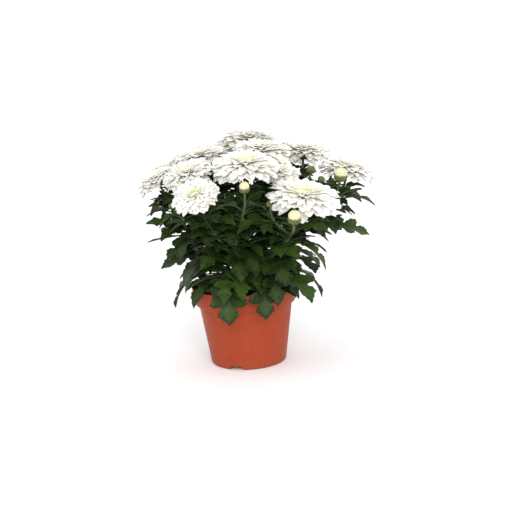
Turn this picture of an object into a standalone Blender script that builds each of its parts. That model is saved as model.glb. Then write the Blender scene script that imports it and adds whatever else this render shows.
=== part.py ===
"""Pot chrysanthemum in a terracotta-coloured plastic pot. Metres, +Z up.

The origin is on the pot's axis, on the surface that the pot stands on. The plant's front is -Y.
"""

import math
import random

import bmesh
import bpy
import numpy as np
from mathutils import Matrix, Vector
from mathutils.bvhtree import BVHTree
from mathutils.geometry import delaunay_2d_cdt

MM = 0.001
GAP = 0.3 * MM  # between pieces that touch
WELD = 0.001 * MM

# Pot: the photograph's pot is a 12 cm one, which is 9 cm high
POT_TOP_RADIUS = 60 * MM
POT_BASE_RADIUS = 42.6 * MM
POT_HEIGHT = 90 * MM
COLLAR_HEIGHT = 20 * MM
COLLAR_TAPER = 3.4 * MM  # from the lip to the collar's lower edge
COLLAR_STEP = 4 * MM
SHOULDER_SLOPE = 1.8 * MM
BASE_BEVEL = 1.6 * MM
LIP_BEVEL = 0.6 * MM
WALL = 1.3 * MM
POT_SIDES = 36

# Drainage channels, cut through the bottom edge of the pot
CHANNELS = 3
FIRST_CHANNEL = -109  # degrees, just left of the front
CHANNEL_HEIGHT = 4.5 * MM
CHANNEL_HALF_WIDTHS = (8.5 * MM, 6.5 * MM)  # at the table and at its roof
CHANNEL_INNER_RADIUS = 26 * MM
DRAIN_RADIUS = 3 * MM
DRAIN_SIDES = 8
DRAIN_FROM_AXIS = 33 * MM

# Potting soil
SOIL_TOP = 78 * MM
SOIL_DOME = 2 * MM
SOIL_SIDES = 18  # half of the pot's, so that its corners stand where the pot's do
SOIL_RINGS = (1, 0.7, 0.35)  # of its radius
PLANTING_DEPTH = 20 * MM
HOLE_RADIUS = 3.5 * MM
HOLE_SIDES = 8

# Leafy stems, one for each rooted cutting
STEM_BASE_RADIUS = 2.7 * MM
SHOOT_BASE_RADIUS = 1.7 * MM
SHOOT_TIP_RADIUS = 1.25 * MM
PLANTING_RADIUS = 21 * MM
STRAIGHT_NECK = 6 * MM  # above the soil
STEM_SPLAY = 0.25
SIDE_SHOOT_RISE = 0.9
PATH_REACH = 0.42  # how far a shoot keeps its first and last directions, as a share of its length
SHOOT_TIP_SUNK = 1.5 * MM  # into the green cup
MAIN_SHOOT_POINTS = 6
SIDE_SHOOT_POINTS = 5
SEED = 21
UP = np.array([0.0, 0.0, 1.0])

# Each flower head: x, y, z of its receptacle in mm, its tilt from upright and the tilt's azimuth in degrees,
# and its radius in mm
BLOOMS = {
    "bloom_01": (-45, -79, 206, 30, -119, 26),
    "bloom_02": (-54, -33, 222, 15, -148, 29),
    "bloom_03": (-90, -8, 213, 30, 178, 25),
    "bloom_04": (-41, 28, 229, 11, 146, 32),
    "bloom_05": (9, -48, 229, 9, -84, 37),
    "bloom_06": (28, 6, 236, 5, 20, 34),
    "bloom_07": (12, 64, 241, 10, 80, 35),
    "bloom_08": (75, 32, 229, 6, 44, 30),
    "bloom_09": (122, 3, 211, 12, 0, 33),
    "bloom_10": (69, -70, 195, 13, -60, 40),
    "bloom_11": (43, -22, 216, 12, -30, 26),
    "bloom_12": (-80, 50, 213, 20, 148, 29),
    "bloom_13": (-32, 92, 222, 18, 110, 32),
    "bloom_14": (64, 88, 219, 18, 53, 31),
}
# Each bud the same way, and whether it has opened enough to show cream
BUDS = {
    "bud_1": (7, -81, 211, 12, -90, 5.0, True),
    "bud_2": (57, -103, 180, 14, -70, 6.2, True),
    "bud_3": (111, -38, 211, 10, -30, 6.2, True),
    "green_bud_1": (81, -8, 216, 15, 20, 4.0, False),
    "green_bud_2": (91, -22, 207, 25, -20, 3.2, False),
    "green_bud_3": (33, -78, 193, 15, -80, 3.2, False),
    "green_bud_4": (-72, -50, 192, 30, -150, 3.2, False),
    "green_bud_5": (108, 48, 204, 25, 30, 4.0, False),
}
# Each stem: azimuth of its root in degrees, the head on its main shoot, and the heads on its side shoots with
# the height in mm that each leaves the main shoot at
STEMS = {
    "leafy_stem_1": (-118, "bloom_05", {"bloom_01": 128, "bud_1": 158, "green_bud_4": 140}),
    "leafy_stem_2": (-46, "bloom_10", {"bloom_11": 122, "bud_2": 150, "green_bud_3": 152}),
    "leafy_stem_3": (14, "bloom_08", {
        "bloom_09": 118, "bud_3": 140, "green_bud_1": 160, "green_bud_2": 150, "green_bud_5": 150,
    }),
    "leafy_stem_4": (86, "bloom_07", {"bloom_06": 130, "bloom_13": 112, "bloom_14": 120}),
    "leafy_stem_5": (158, "bloom_04", {"bloom_02": 124, "bloom_03": 112, "bloom_12": 118}),
}

# Leaf blade, as half of its outline: along the midrib and out from it, in blade lengths. The leaves near the
# heads are smaller and have one lobe on each side in place of two.
LEAF_HALF = ((0.25, 0.37), (0.37, 0.14), (0.56, 0.40), (0.67, 0.14), (0.84, 0.20))
LEAF_RIB = (0.37, 0.67)
UPPER_LEAF_HALF = ((0.38, 0.40), (0.52, 0.14), (0.76, 0.21))
UPPER_LEAF_RIB = (0.52,)
UPPER_BLADE = 49 * MM  # blades under this length are upper leaves
LEAF_THICKNESS = 0.7 * MM
LEAF_CLEARANCE = 1.2 * MM  # from the pot
PETIOLE_HALF_WIDTH = 0.9 * MM
FIRST_LEAF_HEIGHT = 93 * MM
LEAF_SPACING = 10.8 * MM
GOLDEN_ANGLE = 137.5
LEAF_FAN = 0.62  # leaves turn towards the light, so they keep to this share of a full turn

# Leaves that give the plant its outline: shoot, height of the node in mm, azimuth, blade and petiole in mm,
# slope at the stem and at the tip, and roll, in degrees
OUTLINE_LEAVES = (
    ("bloom_05", 101, -98, 55, 24, 22, -96, 4),
    ("bloom_10", 103, -89, 50, 26, 22, -95, -6),
    ("bloom_02", 108, -166, 50, 20, 12, -32, -14),
    ("bloom_03", 150, -174, 40, 12, 0, -14, 16),
    ("bloom_03", 163, -166, 36, 8, 16, -6, -24),
    ("bloom_09", 150, -6, 50, 20, 8, -30, 14),
    ("bloom_09", 178, -4, 26, 6, 30, 16, 10),
    ("bloom_10", 146, -22, 46, 14, 4, -78, -10),
    ("bloom_05", 140, -84, 44, 14, -8, -64, -6),
)

# Space that leaves keep clear of, round shoots in metres, and round heads and buds in their radii
SHOOT_GUARD_RADII = (2.6 * MM, 2.0 * MM)
HEAD_GUARD_HALF = ((0.2, -0.10), (1.06, -0.10), (1.06, 0.10), (0.3, 0.36))
BUD_GUARD_HALF = ((0.9, -1.0), (1.3, 0.0), (1.3, 1.2), (0.5, 1.9))
GUARD_SIDES = 12

# Flower head, in shares of its radius
# Rings of petals, from the lowest: how many, first turn in degrees, length, half-width, distance of the root
# from the axis, its height, slopes at the root and at the tip in degrees, and whether the tip is blunt
PETAL_RINGS = (
    (5, 36, 1.00, 0.22, 0.03, 0.02, 7, -18, True),
    (5, 0, 0.97, 0.22, 0.03, 0.05, 19, -8, True),
    (5, 36, 0.80, 0.22, 0.03, 0.03, 36, 4, False),
    (3, 0, 0.52, 0.17, 0.07, 0.03, 58, 30, False),
)
PETAL_THICKNESS = 0.6 * MM
PETAL_WIDEST = 0.62  # along the petal
PETAL_TIP_WIDTH = 0.5  # of its greatest width
CORE_HALF = ((0.15, 0.0), (0.26, 0.08), (0.17, 0.17))
EYE_HALF = ((0.15, 0.0), (0.14, 0.05), (0.07, 0.09))
CORE_SIDES = 5
EYE_SIDES = 6
# Green cups in shares of their radius, and buds in shares of the bud's radius
CUP_RADIUS = 6.4 * MM
CUP_HALF = ((0.25, -1.1), (0.8, -0.65), (1.0, 0.0))
BUD_CUP_HALF = ((0.3, -0.75), (0.8, -0.45), (0.9, 0.0))
GREEN_BUD_HALF = ((0.4, -0.9), (1.0, -0.3), (0.95, 0.4), (0.4, 0.95))
CUP_SIDES = 7
BALL_HALF = ((0.64, 0.0), (1.0, 0.6), (0.86, 1.25), (0.36, 1.62))
BALL_SIDES = 8
ROOT_SHARE_OF_LIFT = 0.4  # a lifted petal's root turns by this share of its lift
# What a petal tries in turn until it is clear of its neighbours: lift in degrees and share of its length
PETAL_ESCAPES = (
    (0, 1), (9, 1), (-7, 1), (18, 1), (27, 1), (9, 0.85), (0, 0.75), (24, 0.8), (36, 0.8), (0, 0.55),
)

SHARP_FROM = 40  # degrees between faces, from where their edge stays a corner
POT_COLOUR = (0.55, 0.10, 0.035, 1)
SOIL_COLOUR = (0.035, 0.02, 0.012, 1)
LEAF_COLOUR = (0.045, 0.11, 0.02, 1)
PETAL_COLOUR = (0.88, 0.88, 0.80, 1)
EYE_COLOUR = (0.62, 0.72, 0.28, 1)
BUD_COLOUR = (0.80, 0.80, 0.42, 1)


# Directions and paths


def unit(vector):
    return vector / np.linalg.norm(vector)


def level_direction(azimuth):
    """The level unit vector at this many degrees from +X."""
    turn = math.radians(azimuth)
    return np.array([math.cos(turn), math.sin(turn), 0.0])


def tilted(tilt, azimuth):
    """The unit vector that leans this many degrees from +Z."""
    lean = math.radians(tilt)
    return math.sin(lean) * level_direction(azimuth) + np.array([0.0, 0.0, math.cos(lean)])


def smooth_path(start, start_way, end, end_way, points):
    """A cubic curve that leaves start along start_way and arrives at end along end_way."""
    reach = PATH_REACH * np.linalg.norm(end - start)
    knots = (start, start + reach * start_way, end - reach * end_way, end)
    t = np.linspace(0, 1, points)[:, None]
    weights = ((1 - t) ** 3, 3 * t * (1 - t) ** 2, 3 * t**2 * (1 - t), t**3)
    return sum(weight * knot for weight, knot in zip(weights, knots))


def point_at_height(path, height):
    """The point of a rising path at this height."""
    return np.array([np.interp(height, path[:, 2], path[:, k]) for k in range(3)])


def head_frame(name):
    """Where a head or a bud sits on its shoot, the way that it faces, and its radius."""
    x, y, z, tilt, azimuth, radius = {**BLOOMS, **BUDS}[name][:6]
    return np.array([x, y, z]) * MM, tilted(tilt, azimuth), radius * MM


def plan_shoots():
    """{head: its shoot's path}, and {stem: its heads}, the main shoot's first."""
    paths = {}
    grown = {}
    for stem, (azimuth, main, side_shoots) in STEMS.items():
        out = level_direction(azimuth)
        root = PLANTING_RADIUS * out + (SOIL_TOP - PLANTING_DEPTH) * UP
        collar = root + (PLANTING_DEPTH + STRAIGHT_NECK) * UP
        grown[stem] = (main, *side_shoots)
        for head in grown[stem]:
            place, facing, _ = head_frame(head)
            end = place - SHOOT_TIP_SUNK * facing
            if head == main:
                risen = smooth_path(collar, unit(UP + STEM_SPLAY * out), end, facing, MAIN_SHOOT_POINTS)
                paths[head] = np.vstack([root, risen])
            else:
                start = point_at_height(paths[main], side_shoots[head] * MM)
                away = (end - start) * (1, 1, 0)
                start_way = unit(unit(away) + SIDE_SHOOT_RISE * UP)
                paths[head] = smooth_path(start, start_way, end, facing, SIDE_SHOOT_POINTS)
    return paths, grown


# Bent strips: the midline of a leaf or a petal is an arc


def strip(root, out, up, rise, fall, length, roll=0.0, fold=0.0):
    """A bent strip that starts at root and runs out and up. Its slope turns from rise to fall, in degrees."""
    return {
        "root": root, "out": out, "up": up, "length": length,
        "rise": math.radians(rise), "fall": math.radians(fall),
        "roll": math.radians(roll), "fold": math.radians(fold),
    }


def on_strip(bent, along, across, lift):
    """The points at these distances along, across and above a bent strip."""
    along, across, lift = (np.asarray(v, float)[:, None] for v in (along, across, lift))
    turn = (bent["fall"] - bent["rise"]) / bent["length"]
    slope = bent["rise"] + turn * along
    reach = (np.sin(slope) - math.sin(bent["rise"])) / turn
    climb = (math.cos(bent["rise"]) - np.cos(slope)) / turn
    out, up = bent["out"], bent["up"]
    side, normal = np.cross(up, out), up * np.cos(slope) - out * np.sin(slope)
    roll = bent["roll"]
    rolled_side = side * math.cos(roll) + normal * math.sin(roll)
    rolled_normal = normal * math.cos(roll) - side * math.sin(roll)
    raised = np.abs(across) * math.sin(bent["fold"]) + lift
    midline = bent["root"] + reach * out + climb * up
    return midline + rolled_side * across * math.cos(bent["fold"]) + rolled_normal * raised


def cut_out(outline, rib):
    """The triangles of a flat outline with a rib line kept in it: its points and their corners."""
    edges = [(len(outline) + i, len(outline) + i + 1) for i in range(len(rib) - 1)]
    flat = [Vector(p) for p in (*outline, *rib)]
    points, _, faces = delaunay_2d_cdt(flat, edges, [list(range(len(outline)))], 1, 1e-7)[:3]
    return np.array([tuple(p) for p in points]), [tuple(f) for f in faces]


def solid_of(shell):
    """A closed bmesh as a solid: its points and the corners of its faces. The bmesh is freed."""
    bmesh.ops.recalc_face_normals(shell, faces=shell.faces)
    shell.verts.index_update()
    points = np.array([tuple(corner.co) for corner in shell.verts])
    faces = [tuple(corner.index for corner in face.verts) for face in shell.faces]
    shell.free()
    return points, faces


def blade(bent, flat, faces, thickness):
    """A flat shape laid on a bent strip and made solid, split into triangles alike on both faces."""
    shell = bmesh.new()
    raised = np.full(len(flat), thickness / 2)
    corners = [shell.verts.new(p) for p in on_strip(bent, flat[:, 0], flat[:, 1], raised)]
    for face in faces:
        shell.faces.new([corners[i] for i in face])
    shell.normal_update()
    bmesh.ops.solidify(shell, geom=shell.faces[:], thickness=thickness)
    return solid_of(shell)


def tube(path, start_radius, end_radius):
    """A six-sided tube along a path, tapering from one radius to the other."""
    curve = bpy.data.curves.new("path", "CURVE")
    curve.dimensions = "3D"
    curve.bevel_depth = 1
    curve.bevel_resolution = 1
    curve.use_fill_caps = True
    line = curve.splines.new("POLY")
    line.points.add(len(path) - 1)
    for point, place, radius in zip(line.points, path, np.linspace(start_radius, end_radius, len(path))):
        point.co = (*place, 1)
        point.radius = radius
    along = bpy.data.objects.new("path", curve)
    mesh = bpy.data.meshes.new_from_object(along)
    shell = bmesh.new()
    shell.from_mesh(mesh)
    bmesh.ops.remove_doubles(shell, verts=shell.verts, dist=WELD)
    bpy.data.objects.remove(along)
    bpy.data.curves.remove(curve)
    bpy.data.meshes.remove(mesh)
    return solid_of(shell)


def turned(profile, sides, place=(0, 0, 0), facing=UP):
    """A solid spun from (radius, height) pairs about an axis through a place, with flat ends."""
    shell = bmesh.new()
    corners = [shell.verts.new((radius, 0, height)) for radius, height in profile]
    edges = [shell.edges.new(pair) for pair in zip(corners[:-1], corners[1:])]
    half = [*corners, *edges]
    bmesh.ops.spin(shell, geom=half, cent=(0, 0, 0), axis=UP, angle=2 * math.pi, steps=sides)
    bmesh.ops.remove_doubles(shell, verts=shell.verts, dist=WELD)
    bmesh.ops.holes_fill(shell, edges=shell.edges)
    bmesh.ops.transform(shell, matrix=Matrix.Translation(place) @ turn_to(facing).to_4x4(), verts=shell.verts)
    return solid_of(shell)


def turn_to(facing):
    """The rotation that turns +Z to this direction."""
    return Vector(UP).rotation_difference(Vector(facing)).to_matrix()


# Leaves: where each one stands, found so that its blade is clear of what grows near it


def leaf_flat(leaf):
    """A leaf's flat outline with its petiole, and its triangles."""
    long, petiole = leaf["blade"], leaf["petiole"]
    shape, rib = (UPPER_LEAF_HALF, UPPER_LEAF_RIB) if long < UPPER_BLADE else (LEAF_HALF, LEAF_RIB)
    lobes = [(petiole + x * long, y * long) for x, y in shape]
    one_side = [(0.0, PETIOLE_HALF_WIDTH), (petiole, PETIOLE_HALF_WIDTH), *lobes]
    outline = [*((x, -y) for x, y in one_side), (petiole + long, 0.0), *reversed(one_side)]
    return cut_out(outline, [(petiole + x * long, 0.0) for x in rib])


def leaf_solid(leaf):
    out = level_direction(leaf["azimuth"])
    length = leaf["petiole"] + leaf["blade"]
    bent = strip(leaf["root"], out, UP, leaf["rise"], leaf["fall"], length, leaf["roll"], leaf["fold"])
    return blade(bent, *leaf_flat(leaf), LEAF_THICKNESS)


def tree_of(solid):
    return BVHTree.FromPolygons([Vector(p) for p in solid[0]], solid[1])


def head_guard(name):
    """The dish of space that a flower head's petals fill."""
    place, facing, radius = head_frame(name)
    return turned([(r * radius, h * radius) for r, h in HEAD_GUARD_HALF], GUARD_SIDES, place, facing)


def bud_guard(name):
    place, facing, radius = head_frame(name)
    return turned([(r * radius, h * radius) for r, h in BUD_GUARD_HALF], GUARD_SIDES, place, facing)


def pot_guard():
    """The pot with its soil, a little larger, which leaves hang over and don't touch."""
    wall = [(radius + LEAF_CLEARANCE, height) for radius, height in outer_profile()[1:-1]]
    lip = POT_HEIGHT + LEAF_CLEARANCE
    mouth = [(POT_TOP_RADIUS, lip), (POT_TOP_RADIUS - 2 * WALL, lip), (0, SOIL_TOP)]
    return turned([*wall[:-1], *mouth], POT_SIDES)


def bare_blade(solid, leaf):
    """The faces of a leaf's solid beyond half of its petiole."""
    points, faces = solid
    away = np.linalg.norm(points - leaf["root"], axis=1) > 0.5 * leaf["petiole"] + 2 * MM
    return points, [f for f in faces if all(away[i] for i in f)]


def leaf_wishes(paths, grown):
    """The leaves that the plant would grow, those of the outline first: each one's stem and first place."""
    draw = random.Random(SEED)
    owner = {head: stem for stem, heads in grown.items() for head in heads}
    wishes = []
    for head, height, azimuth, blade, petiole, rise, fall, roll in OUTLINE_LEAVES:
        root = point_at_height(paths[head], height * MM)
        wishes.append((owner[head], dict(
            root=root, azimuth=azimuth, blade=blade * MM, petiole=petiole * MM,
            rise=rise, fall=fall, roll=roll, fold=8.0,
        )))
    for stem, heads in grown.items():
        for order, head in enumerate(heads):
            path = paths[head]
            main = order == 0
            low = FIRST_LEAF_HEIGHT if main else path[0, 2] + 12 * MM
            high = path[-1, 2] - (26 if head in BLOOMS else 16) * MM
            count = max(1, int((high - low) / (LEAF_SPACING if main else 1.35 * LEAF_SPACING)))
            for k in range(count):
                height = low + (high - low) * (k + 0.5) / count
                root = point_at_height(path, height)
                outward = math.degrees(math.atan2(root[1], root[0]))
                turn = (GOLDEN_ANGLE * k + 67 * order + 180) % 360 - 180
                share = min(1.0, max(0.0, (height - 90 * MM) / (110 * MM)))
                blade = (63 - 29 * share) * MM * draw.uniform(0.9, 1.08)
                wishes.append((stem, dict(
                    root=root,
                    azimuth=outward + LEAF_FAN * turn + draw.uniform(-10, 10),
                    blade=blade,
                    petiole=blade * (0.36 - 0.12 * share),
                    rise=24 + 24 * share + draw.uniform(-8, 8),
                    fall=-82 + 40 * share + draw.uniform(-16, 16),
                    roll=draw.uniform(-24, 24),
                    fold=draw.uniform(4, 16),
                )))
    return wishes


def plan_leaves(paths, grown):
    """{stem: its leaves}. A leaf that would cross something turns, lifts or shrinks, or isn't grown."""
    guards = [pot_guard(), *map(head_guard, BLOOMS), *map(bud_guard, BUDS)]
    standing = {"": [tree_of(guard) for guard in guards]}
    for stem, heads in grown.items():
        standing[stem] = [tree_of(tube(paths[head], *SHOOT_GUARD_RADII)) for head in heads]
    leaves = {stem: [] for stem in grown}
    for stem, wish in leaf_wishes(paths, grown):
        for attempt in range(15):
            leaf = dict(wish)
            leaf["azimuth"] += (-1) ** attempt * 9 * ((attempt + 1) // 2)
            leaf["fall"] += 8 * (attempt % 3)
            leaf["blade"] *= 1 - 0.02 * attempt
            solid = leaf_solid(leaf)
            whole, beyond = tree_of(solid), tree_of(bare_blade(solid, leaf))
            crosses = any(
                (beyond if other == stem else whole).overlap(tree)
                for other, trees in standing.items()
                for tree in trees
            )
            if not crosses:
                leaves[stem].append(leaf)
                standing[stem].append(whole)
                break
    return leaves


# Named objects


def material(name, colour, roughness):
    made = bpy.data.materials.new(name)
    made.use_nodes = True
    shader = made.node_tree.nodes["Principled BSDF"]
    shader.inputs["Base Color"].default_value = colour
    shader.inputs["Roughness"].default_value = roughness
    shader.inputs["Metallic"].default_value = 0.0
    made.diffuse_color = colour
    return made


def shade(mesh):
    """Smooth shading, with the corners kept sharp."""
    mesh.polygons.foreach_set("use_smooth", [True] * len(mesh.polygons))
    mesh.set_sharp_from_angle(angle=math.radians(SHARP_FROM))


def add_object(name, solid, finish=None):
    points, faces = solid
    mesh = bpy.data.meshes.new(name)
    mesh.from_pydata(points.tolist(), [], faces)
    shade(mesh)
    if finish:
        mesh.materials.append(finish)
    made = bpy.data.objects.new(name, mesh)
    bpy.context.scene.collection.objects.link(made)
    return made


def boolean(target, operation, others, solver="EXACT"):
    """Joins others to target, or cuts them from it, in one applied Boolean. The others are removed."""
    group = bpy.data.collections.new("operands")
    bpy.context.scene.collection.children.link(group)
    for other in others:
        bpy.context.scene.collection.objects.unlink(other)
        group.objects.link(other)
    step = target.modifiers.new("Boolean", "BOOLEAN")
    step.operation = operation
    step.operand_type = "COLLECTION"
    step.collection = group
    step.solver = solver
    graph = bpy.context.evaluated_depsgraph_get()
    result = bpy.data.meshes.new_from_object(target.evaluated_get(graph))
    target.modifiers.clear()
    shade(result)
    target.data = result
    for other in others:
        bpy.data.objects.remove(other)
    bpy.data.collections.remove(group)
    return target


# Pot and soil


def outer_profile():
    """The outside of the pot, from the centre of its underside to the middle of its lip."""
    shoulder = POT_HEIGHT - COLLAR_HEIGHT
    neck = POT_TOP_RADIUS - COLLAR_TAPER - COLLAR_STEP
    return [
        (0, 0),
        (POT_BASE_RADIUS - BASE_BEVEL, 0),
        (POT_BASE_RADIUS, BASE_BEVEL),
        (neck, shoulder - SHOULDER_SLOPE),
        (neck + COLLAR_STEP, shoulder),
        (POT_TOP_RADIUS, POT_HEIGHT - LIP_BEVEL),
        (POT_TOP_RADIUS - LIP_BEVEL, POT_HEIGHT),
        (0, POT_HEIGHT),
    ]


def inner_profile(clearance):
    """The inside of the pot, from the centre of its floor to its lip, moved in by a clearance."""
    inward = WALL + clearance
    shoulder = POT_HEIGHT - COLLAR_HEIGHT + inward
    neck = POT_TOP_RADIUS - COLLAR_TAPER - COLLAR_STEP - inward
    return [
        (0, inward),
        (POT_BASE_RADIUS - inward, inward),
        (neck, shoulder - SHOULDER_SLOPE),
        (neck + COLLAR_STEP, shoulder),
        (POT_TOP_RADIUS - inward, POT_HEIGHT),
    ]


def channel_blocks(grow):
    """A wedge-sided block for each drainage channel, this much wider and higher than the channel."""
    blocks = []
    for k in range(CHANNELS):
        out = level_direction(FIRST_CHANNEL + 360 * k / CHANNELS)
        side = np.cross(UP, out)
        corners = [
            radius * out + end * (half_width + grow) * side + height * UP
            for radius in (CHANNEL_INNER_RADIUS - grow, POT_TOP_RADIUS)
            for height, half_width in zip((-WALL, CHANNEL_HEIGHT + grow), CHANNEL_HALF_WIDTHS)
            for end in (-1, 1)
        ]
        shell = bmesh.new()
        hull = [shell.verts.new(corner) for corner in corners]
        bmesh.ops.convex_hull(shell, input=hull)
        blocks.append(add_object("channel", solid_of(shell)))
    return blocks


def drain_holes():
    """A cutter for the hole in each drainage channel's roof."""
    cutters = []
    for k in range(CHANNELS):
        place = DRAIN_FROM_AXIS * level_direction(FIRST_CHANNEL + 360 * k / CHANNELS)
        profile = [(DRAIN_RADIUS, -WALL), (DRAIN_RADIUS, CHANNEL_HEIGHT + 3 * WALL)]
        cutters.append(add_object("drain", turned(profile, DRAIN_SIDES, place)))
    return cutters


def make_pot(finish):
    """The wall, floor and collar, with tunnels over the drainage channels."""
    mouth = (POT_TOP_RADIUS - WALL, POT_HEIGHT + WALL)
    cavity = add_object("cavity", turned([*inner_profile(0), mouth, (0, POT_HEIGHT + WALL)], POT_SIDES))
    boolean(cavity, "DIFFERENCE", channel_blocks(WALL))
    pot = add_object("pot", turned(outer_profile(), POT_SIDES), finish)
    boolean(pot, "DIFFERENCE", [cavity])
    boolean(pot, "DIFFERENCE", [*channel_blocks(0), *drain_holes()])


def make_soil(finish, roots):
    """The peat that fills the pot, with a plain hole for each stem."""
    wall = [point for point in inner_profile(GAP) if point[1] < SOIL_TOP]
    edge = POT_TOP_RADIUS - COLLAR_TAPER - WALL - GAP
    top = [(share * edge, SOIL_TOP - SOIL_DOME * share**2) for share in SOIL_RINGS]
    soil = add_object("potting_soil", turned([*wall, *top, (0, SOIL_TOP)], SOIL_SIDES), finish)
    hole = [(HOLE_RADIUS, -GAP), (HOLE_RADIUS, 2 * PLANTING_DEPTH)]
    holes = [add_object("hole", turned(hole, HOLE_SIDES, root)) for root in roots]
    boolean(soil, "DIFFERENCE", [*channel_blocks(WALL + GAP), *holes])


# Flower heads and buds


def petal_flat(length, half_width, blunt):
    """A petal's flat outline, blunt or pointed at its tip, and its triangles."""
    wide, end = PETAL_WIDEST * length, PETAL_TIP_WIDTH * half_width
    if blunt:
        corners = [(0, 0), (wide, -half_width), (length, -end), (length, end), (wide, half_width)]
        return np.array(corners), [(0, 1, 4), (1, 2, 4), (2, 3, 4)]
    return np.array([(0, 0), (wide, -half_width), (length, 0), (wide, half_width)]), [(0, 1, 3), (1, 2, 3)]


def head_petals(name, standing):
    """A head's petals. One that would cross a neighbour is bent up or down, or is shorter."""
    place, facing, radius = head_frame(name)
    turn_head = np.array(turn_to(facing))
    petals = []
    for count, first, reach, width, inner, height, rise, fall, blunt in PETAL_RINGS:
        for k in range(count):
            out = turn_head @ level_direction(first + 360 * k / count)
            root = place + (height * facing + inner * out) * radius
            for lift, share in PETAL_ESCAPES:
                length = reach * radius * share
                bent = strip(root, out, facing, rise + ROOT_SHARE_OF_LIFT * lift, fall + lift, length)
                petal = blade(bent, *petal_flat(length, width * radius, blunt), PETAL_THICKNESS)
                if not any(tree_of(petal).overlap(tree) for tree in standing):
                    petals.append(petal)
                    break
    return petals


def on_head(name, half, height, sides):
    """A solid turned about a head's axis, from its half in shares of the head's radius, at a height."""
    place, facing, radius = head_frame(name)
    return turned([(r * radius, height + h * radius) for r, h in half], sides, place, facing)


def make_bloom(name, standing, petal_finish, eye_finish):
    """Petals fused to their core, with the eye on it. Returns them all, for the next heads to avoid."""
    core = on_head(name, CORE_HALF, GAP, CORE_SIDES)
    core_top = CORE_HALF[-1][1] * head_frame(name)[2]
    eye = on_head(name, EYE_HALF, core_top + 2 * GAP, EYE_SIDES)
    petals = head_petals(name, [*standing, tree_of(eye)])
    bloom = add_object(name, core, petal_finish)
    boolean(bloom, "UNION", [add_object("petal", petal) for petal in petals], "MANIFOLD")
    add_object(name + "_eye", eye, eye_finish)
    return [tree_of(solid) for solid in (core, eye, *petals)]


def bud_ball(name):
    """A bud's round ball of closed petals, on its green cup."""
    return on_head(name, BALL_HALF, GAP, BALL_SIDES)


def green_cup(name):
    """The green cup under a head or a cream bud, or a closed green bud."""
    if name in BLOOMS:
        place, facing, _ = head_frame(name)
        return turned([(r * CUP_RADIUS, h * CUP_RADIUS) for r, h in CUP_HALF], CUP_SIDES, place, facing)
    opened = BUDS[name][-1]
    return on_head(name, BUD_CUP_HALF if opened else GREEN_BUD_HALF, 0, CUP_SIDES)


def shoot_tubes(heads, paths):
    """A stem's main shoot and its side shoots."""
    base_radii = [STEM_BASE_RADIUS, *[SHOOT_BASE_RADIUS] * (len(heads) - 1)]
    return [tube(paths[head], base_radius, SHOOT_TIP_RADIUS) for head, base_radius in zip(heads, base_radii)]


def make_stem(name, heads, paths, leaves, finish):
    main_shoot, *side_shoots = shoot_tubes(heads, paths)
    growth = [*side_shoots, *map(green_cup, heads), *map(leaf_solid, leaves)]
    stem = add_object(name, main_shoot, finish)
    boolean(stem, "UNION", [add_object("growth", solid) for solid in growth], "MANIFOLD")


def main():
    for old in list(bpy.data.objects):
        bpy.data.objects.remove(old)
    paths, grown = plan_shoots()
    leaves = plan_leaves(paths, grown)
    make_pot(material("pot_plastic", POT_COLOUR, 0.45))
    make_soil(material("potting_soil", SOIL_COLOUR, 0.95), [paths[heads[0]][0] for heads in grown.values()])

    green = material("leaf_green", LEAF_COLOUR, 0.5)
    white = material("petal_white", PETAL_COLOUR, 0.6)
    pale_green = material("eye_green", EYE_COLOUR, 0.6)
    cream = material("bud_cream", BUD_COLOUR, 0.6)
    balls = {name: bud_ball(name) for name, bud in BUDS.items() if bud[-1]}
    for name, ball in balls.items():
        add_object(name, ball, cream)

    shoots = [tree_of(tube) for heads in grown.values() for tube in shoot_tubes(heads, paths)]
    standing = [*shoots, *map(tree_of, balls.values())]
    cups = {name: tree_of(green_cup(name)) for name in (*BLOOMS, *BUDS)}
    for name in BLOOMS:
        other_cups = [cup for head, cup in cups.items() if head != name]
        standing += make_bloom(name, [*standing, *other_cups], white, pale_green)
    for stem, heads in grown.items():
        make_stem(stem, heads, paths, leaves[stem], green)


main()
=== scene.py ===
"""Looks of a pot chrysanthemum: white blooms, cream buds and lobed leaves in a terracotta-coloured pot.

Metres, +Z up. The origin is on the pot's axis, on the surface that it stands on. The plant's front is -Y.
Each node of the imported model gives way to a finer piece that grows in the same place.
"""

import math
import random

import bmesh
import bpy
import numpy as np
from mathutils import Matrix, Vector, noise
from mathutils.bvhtree import BVHTree
from mathutils.geometry import delaunay_2d_cdt


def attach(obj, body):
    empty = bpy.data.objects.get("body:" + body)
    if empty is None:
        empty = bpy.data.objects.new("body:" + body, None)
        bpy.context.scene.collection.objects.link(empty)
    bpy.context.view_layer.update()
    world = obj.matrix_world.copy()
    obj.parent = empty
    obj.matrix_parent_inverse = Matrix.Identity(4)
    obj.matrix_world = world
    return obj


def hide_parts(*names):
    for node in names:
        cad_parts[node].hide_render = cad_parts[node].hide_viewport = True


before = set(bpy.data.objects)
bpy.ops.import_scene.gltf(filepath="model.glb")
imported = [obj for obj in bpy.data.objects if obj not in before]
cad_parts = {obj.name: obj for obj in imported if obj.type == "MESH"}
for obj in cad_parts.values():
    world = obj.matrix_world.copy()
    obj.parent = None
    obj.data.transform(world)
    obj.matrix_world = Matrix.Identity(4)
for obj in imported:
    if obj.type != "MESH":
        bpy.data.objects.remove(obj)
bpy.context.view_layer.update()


# Nursery pot
# Injection-moulded polypropylene, coloured terracotta in the mass: a thin tapered wall with a deep stacking
# collar under its rounded lip. Three drainage channels, each with a hole in its roof, leave through its foot.

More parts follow.
